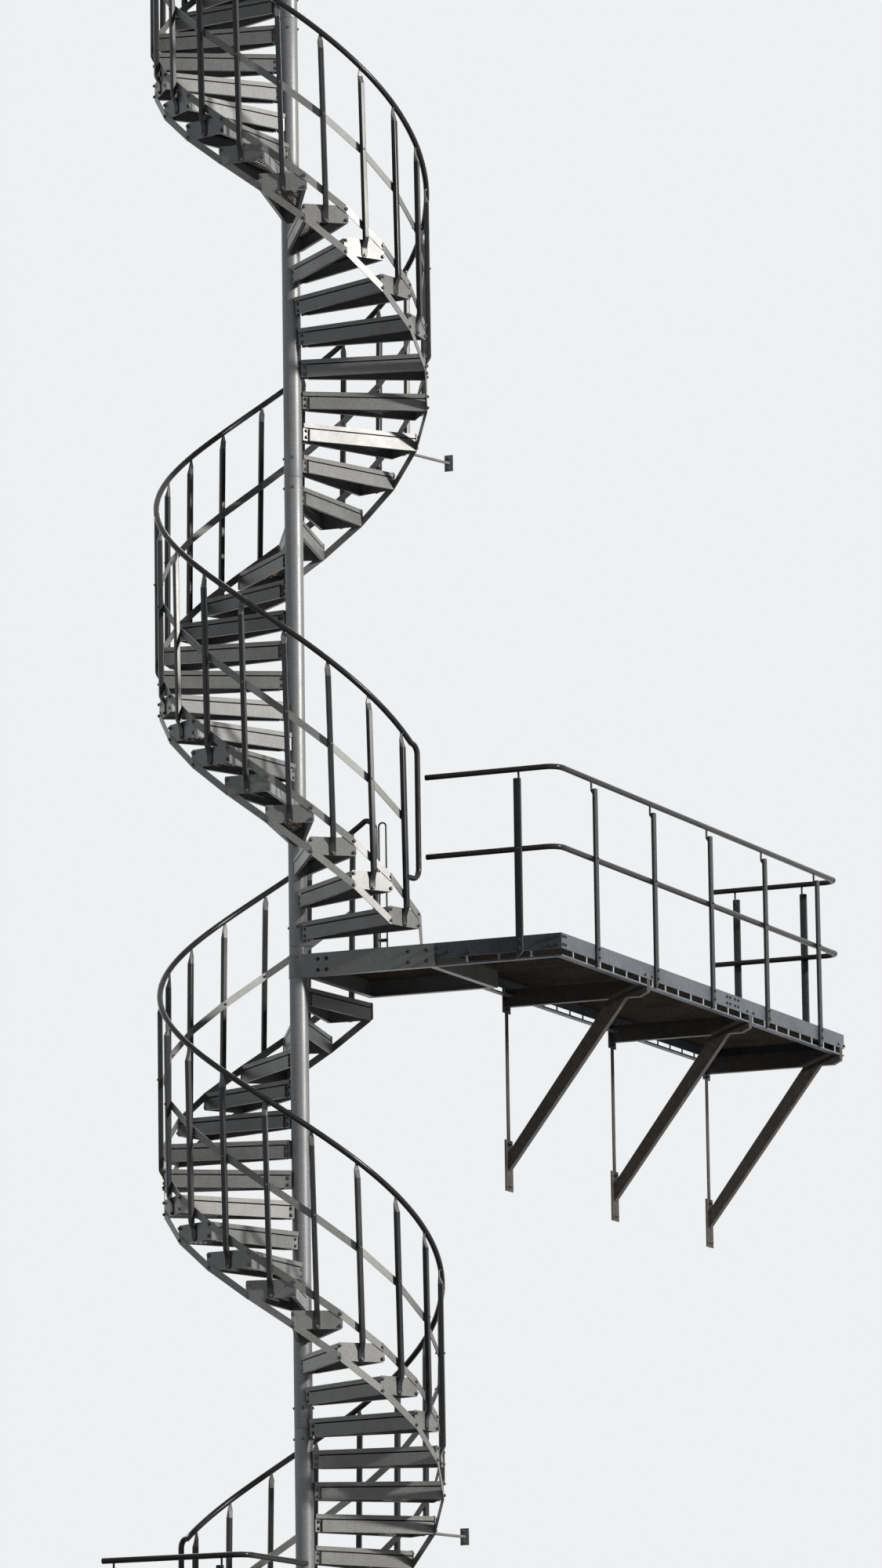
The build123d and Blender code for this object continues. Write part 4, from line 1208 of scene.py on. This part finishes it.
@dataclass
class Hairpin:
    """Bent rod on the back edge of the middle landing."""
    left: float = 0.152
    right: float = 0.204
    y: float = 0.962
    height: float = 1.015
    rod: float = 0.012
    rod_sides: int = 12
    crown_points: int = 17
    root: float = -0.006
    tie: float = 0.225
    tie_top: float = 0.011
    tie_width: float = 0.005
    tie_depth: float = 0.0225

    def build(self) -> None:
        """Carries a round section up one leg, over a half circle and down the other, with a tie low between them."""
        crown = (self.right - self.left) / 2
        t = np.linspace(0, np.pi, self.crown_points)
        x = (self.left + self.right) / 2 - crown * np.cos(t)
        z = MIDDLE_LEVEL + self.height - crown + crown * np.sin(t)
        base, tie_z = MIDDLE_LEVEL + self.root, MIDDLE_LEVEL + self.tie
        path = np.concatenate([[(self.left, self.y, base)], np.stack([x, np.full_like(x, self.y), z], -1),
                               [(self.right, self.y, base)]])
        rod = carried(oval(self.rod_sides, self.rod / 2, self.rod / 2), path, AXIS_Y)
        ends = [np.array([[leg, self.y, tie_z + self.tie_top]]) for leg in (self.left, self.right)]
        nuts = RAIL_BOLT.at(aimed([(leg, self.y - self.tie_width, tie_z) for leg in (self.left, self.right)], -AXIS_Y))
        tie = flat_bars(*ends, self.tie_width, self.tie_depth)
        show("hairpin_rod", joined([rod, tie, nuts]), TUBE, smooth=True,
             stands_for=["middle_landing_hairpin"])


@dataclass
class Plates:
    """Bolts on the landings' channels, the walkway's side plates, the brackets, the ties and the base."""
    side_rows: tuple[float, float] = (-0.022, -0.075)
    corner_y: tuple[float, float] = (-0.030, 0.012)
    corner_x: tuple[float, float] = (-0.030, -0.085)
    splice_y: float = 2.920
    splice_rows: tuple[float, float] = (-0.028, -0.072)
    splice_steps: tuple[float, ...] = (-0.10, -0.045, 0.045, 0.10)
    arm_row: float = -0.080
    arm_steps: tuple[float, float] = (-0.055, 0.055)
    near_spots: Points = ((1.007, -0.030), (1.007, -0.075), (1.083, -0.065), (1.228, -0.075))
    channel_x: tuple[float, ...] = (0.16, 0.22, 0.80, 0.93)
    channel_y: tuple[float, float] = (0.05, 0.85)
    channel_rows: tuple[float, float] = (-0.040, -0.112)
    anchor: float = 0.150
    base_top: float = 0.020
    wall_plate: float = 0.863
    wall_rows: tuple[float, ...] = (-1.132, -1.412, -0.235, -0.080)
    tie_place: tuple[float, float] = (0.600, 1.185)
    tie_levels: tuple[float, float] = (MIDDLE_LEVEL + RISE_UPPER * 17 + HOLE_ROW_LOW,
                                       MIDDLE_LEVEL - RISE_LOWER * 18 + HOLE_ROW_LOW)
    tie_step: float = 0.035
    bead_sides: int = 40
    bead: Points = ((0.0, 0.0), (0.0095, 0.0), (0.0085, 0.0035), (0.0035, 0.0085), (0.0002, 0.0100))

    def walkway_bolts(self) -> np.ndarray:
        """Placements of the corner, splice and bracket bolts on the walkway's outer and near side plates.

        Returns:
            The placements.
        """
        outer = [(y, h) for y in self.corner_y for h in self.side_rows]
        outer += [(self.splice_y + dy, h) for dy in self.splice_steps for h in self.splice_rows]
        outer += [(y + dy, self.arm_row) for y in BRACKET_Y for dy in self.arm_steps]
        near = [(WALKWAY_OUTER + dx, h) for dx in self.corner_x for h in self.side_rows] + list(self.near_spots)
        return np.concatenate([aimed([(WALKWAY_OUTER, y, MIDDLE_LEVEL + h) for y, h in outer], AXIS_X),
                               aimed([(x, -LANDING_EDGE, MIDDLE_LEVEL + h) for x, h in near], -AXIS_Y)])

    def landing_bolts(self) -> np.ndarray:
        """Placements of the bolts on the landings' channels.

        Returns:
            The placements.
        """
        sets = [aimed([(x * sign, -LANDING_EDGE * sign, level + h) for x in self.channel_x for h in self.channel_rows],
                      -AXIS_Y * sign)
                for level, sign in ((EXIT_LEVEL, -1), (MIDDLE_LEVEL, 1), (TOP_LEVEL, 1))]
        side = [(LANDING_SIZE, y, TOP_LEVEL + h) for y in self.channel_y for h in self.channel_rows]
        return np.concatenate([*sets, aimed(side, AXIS_X)])

    def anchor_nuts(self) -> Surface:
        """Nuts on the anchors of the base plate, the wall plates and the ties.

        Returns:
            All the nuts.
        """
        ends, (tie_x, tie_y) = (-self.anchor, self.anchor), self.tie_place
        corners = [(x, y, self.base_top) for x in ends for y in ends]
        wall = [(self.wall_plate, y, MIDDLE_LEVEL + z) for y in BRACKET_Y for z in self.wall_rows]
        ties = [(tie_x, tie_y, z + h) for z in self.tie_levels for h in (-self.tie_step, self.tie_step)]
        return joined([ANCHOR_NUT.at(aimed(corners, AXIS_Z)), WALL_NUT.at(aimed(wall, AXIS_X)),
                       TIE_NUT.at(aimed(ties, -AXIS_Y))])

    def column_weld(self) -> Surface:
        """Weld bead round the column's foot: a small quarter section spun round the column."""
        return turned_form([(COLUMN_RADIUS + r, self.base_top + z) for r, z in self.bead], self.bead_sides)

    def build(self) -> None:
        """Makes all the bolts and the weld."""
        show("walkway_side_bolts", SIDE_BOLT.at(self.walkway_bolts()), DARK_BOLT)
        show("landing_channel_bolts", CHANNEL_BOLT.at(self.landing_bolts()), DARK_BOLT)
        show("anchor_nuts", self.anchor_nuts(), BOLT)
        show("column_foot_weld", self.column_weld(), ZINC, smooth=True)


# ---------------------------------------------------------------- stage

@dataclass(frozen=True)
class Lamp:
    """One square soft lamp: its place, the side of its square, its watts and the colour of its light."""
    name: str
    place: Vec
    size: float
    power: float
    tint: RGB = (1.0, 1.0, 1.0)

    def build(self, aim: Vec) -> None:
        """Sets it up to look at a point.

        Args:
            aim: the point.
        """
        data = bpy.data.lights.new(self.name, "AREA")
        data.shape, data.size, data.energy = "SQUARE", self.size, self.power
        data.color = self.tint
        linked(self.name, data).matrix_world = Matrix(aimed(self.place, np.array(self.place) - np.array(aim)).tolist())


@dataclass
class Studio:
    """Pale floor, soft lamps, and the camera of the photograph's viewing angle."""
    floor_radius: float = 8.0
    floor_sides: int = 96
    floor_span: tuple[float, float] = (-0.05, -0.0005)
    ambient: float = 0.05
    centre: Vec = (0.6, 1.6, 6.5)
    lamps: Sequence[Lamp] = (Lamp("key", (34.8, -2.6, 17.2), 2.4, 18500.0, (1.0, 0.965, 0.905)),
                             Lamp("fill", (-14.0, -13.0, 8.0), 7.0, 110.0, (0.82, 0.91, 1.0)),
                             Lamp("back", (-9.0, 20.0, 18.0), 9.0, 1300.0))
    eye: Vec = (19.965, -43.261, -2.3835)
    turn: Vec = (0.91610, 0.40099, 0.0)
    pitch: float = 0.181549
    roll: float = -0.0145037
    lens: float = 170.25

    def floor(self) -> None:
        """Plain round floor under the object, which throws back less light than it shows."""
        disc = prism(oval(self.floor_sides, self.floor_radius, self.floor_radius), *self.floor_span)
        pale = bpy.data.materials.new("pale_floor")
        pale.use_nodes = True
        sheet = Sheet(pale.node_tree)
        place = sheet.add("ShaderNodeTexCoord").outputs["Object"]
        noise = sheet.add("ShaderNodeTexNoise", {"Vector": place, "Scale": 1.5, "Detail": 5.0})
        seen = sheet.mix(noise.outputs[0], (0.60, 0.60, 0.59, 1.0), (0.66, 0.66, 0.65, 1.0))
        rays = sheet.add("ShaderNodeLightPath")
        shade = sheet.mix(rays.outputs["Is Diffuse Ray"], seen, (0.20, 0.19, 0.175, 1.0))
        shader = sheet.add("ShaderNodeBsdfPrincipled", {"Base Color": shade, "Roughness": 0.8})
        sheet.add("ShaderNodeOutputMaterial", {"Surface": shader.outputs[0]})
        floor = meshed("studio_floor", disc, pale)

    def world(self) -> None:
        """Pale backdrop for the camera and in reflections, and a dimmer even light on the object."""
        world = bpy.data.worlds.new("studio")
        bpy.context.scene.world = world
        world.use_nodes = True
        sheet = Sheet(world.node_tree)
        rays = sheet.add("ShaderNodeLightPath")
        mirrored = sheet.math("MAXIMUM", rays.outputs["Is Glossy Ray"], rays.outputs["Is Transmission Ray"])
        seen = sheet.math("MAXIMUM", rays.outputs["Is Camera Ray"], mirrored)
        even = sheet.add("ShaderNodeBackground", {"Color": (0.72, 0.85, 1.0, 1.0), "Strength": self.ambient})
        pale = sheet.add("ShaderNodeBackground", {"Color": (0.86, 0.87, 0.88, 1.0), "Strength": 1.0})
        both = sheet.add("ShaderNodeMixShader", {"0": seen, "1": even.outputs[0], "2": pale.outputs[0]})
        sheet.add("ShaderNodeOutputWorld", {"Surface": both.outputs[0]})

    def camera(self) -> None:
        """Camera at the photograph's place, angle and framing: turned level, then pitched up, then rolled."""
        across = np.array(self.turn)
        ahead = np.array([-self.turn[1], self.turn[0], 0.0])
        view = math.cos(self.pitch) * ahead + math.sin(self.pitch) * AXIS_Z
        above = -math.sin(self.pitch) * ahead + math.cos(self.pitch) * AXIS_Z
        right = math.cos(self.roll) * across + math.sin(self.roll) * above
        up = -math.sin(self.roll) * across + math.cos(self.roll) * above
        data = bpy.data.cameras.new("photo_camera")
        data.sensor_width, data.lens = 36.0, self.lens
        data.clip_start, data.clip_end = 1.0, 400.0
        camera = linked("photo_camera", data)
        camera.matrix_world = Matrix(placement(right, up, -view, np.array(self.eye)).tolist())
        bpy.context.scene.camera = camera

    def build(self) -> None:
        """Sets up the floor, the world, the lamps and the camera."""
        self.floor()
        self.world()
        for lamp in self.lamps:
            lamp.build(self.centre)
        self.camera()
        bpy.context.scene.view_settings.view_transform = "Standard"


def dress_frame() -> None:
    """Gives every CAD node the finish of its slot, and the walkway's side plates their own, with painted light and
    shade.
    """
    for row in frame["record"]["subparts"]:
        node = frame["nodes"][row["node"]]
        finish = PAINTED_LIGHT_PLATE_ZINC if row["node"] == "walkway_frame" else FINISH_OF[Slot(row["material_slot"])]
        node.data.materials.clear()
        node.data.materials.append(finish.material())


def flights() -> list[Flight]:
    """The lower flight, which ends at the middle landing, and the upper one, which starts there.

    Returns:
        The two of them.
    """
    lower_step, lower_last, lower_count = 360.0 / 19, 92.3, 24
    upper_step, upper_first, upper_count = 360.0 / 20, -14.3, 35
    return [Flight("lower_flight", lower_step, RISE_LOWER, lower_last + lower_step * (lower_count - 1),
                   MIDDLE_LEVEL - RISE_LOWER * lower_count, lower_count),
            Flight("upper_flight", upper_step, RISE_UPPER, upper_first, MIDDLE_LEVEL + RISE_UPPER, upper_count)]


def walkway_spans() -> list[tuple[float, float]]:
    """Spans along Y of the walkway's panels: the one beside the stair, then the row of them along the wall.

    Returns:
        A start and an end for each.
    """
    count, seam, gap, beside_stair = 4, 0.001, 0.003, (-0.041, 0.976)
    pitch = (WALKWAY_END - LANDING_SIZE - PANEL_LAP) / count
    starts = [LANDING_SIZE + seam + i * pitch for i in range(count)]
    return [beside_stair] + [(start, start + pitch - gap) for start in starts]


def guards() -> list[Guard]:
    """The guards of the walkway, the exit landing and the top landing.

    Returns:
        The three of them.
    """
    near, outer, end = RAIL_INSET - LANDING_EDGE, WALKWAY_OUTER - RAIL_INSET, WALKWAY_END - RAIL_INSET
    posts = [(1.590, -LANDING_EDGE, 0, -1)] + [(WALKWAY_OUTER, 0.530 + 1.008 * i, 1, 0) for i in range(5)]
    posts += [(x, WALKWAY_END, 0, 1) for x in (1.088, 1.594)]
    back, side = RAIL_INSET - LANDING_SIZE, LANDING_SIZE - RAIL_INSET
    return [Guard("walkway", [(0.935, near), (outer, near), (outer, end), (0.915, end)], MIDDLE_LEVEL, posts,
                  ["walkway_top_rail", "walkway_lower_rail"], ["walkway_stanchions"]),
            Guard("exit_guard", [(back, back), (-near, back), (-near, -COLUMN_RADIUS)], EXIT_LEVEL,
                  [(x, -LANDING_SIZE, 0, -1) for x in (-0.888, -0.131)], ["exit_landing_guard"]),
            Guard("top_guard", [(COLUMN_RADIUS, near), (side, near), (side, 1.133)], TOP_LEVEL,
                  [(0.520, -LANDING_EDGE, 0, -1), (LANDING_SIZE, 0.250, 1, 0), (LANDING_SIZE, 0.850, 1, 0)],
                  ["top_landing_guard"])]


def main() -> None:
    """Builds the stair's pieces in order, then the studio."""
    logging.basicConfig(level=logging.INFO, format="%(name)s %(message)s")
    dress_frame()
    for flight in flights():
        flight.build()
    Column().build()
    for landing in ("exit_landing", "middle_landing", "top_landing"):
        Deck(landing + "_deck", wraps_column=True).build()
    Deck("walkway_deck").build(walkway_spans(), LANDING_SIZE + PANEL_LAP)
    for guard in guards():
        guard.build()
    Hairpin().build()
    Plates().build()
    Studio().build()


if __name__ == "__main__":
    main()
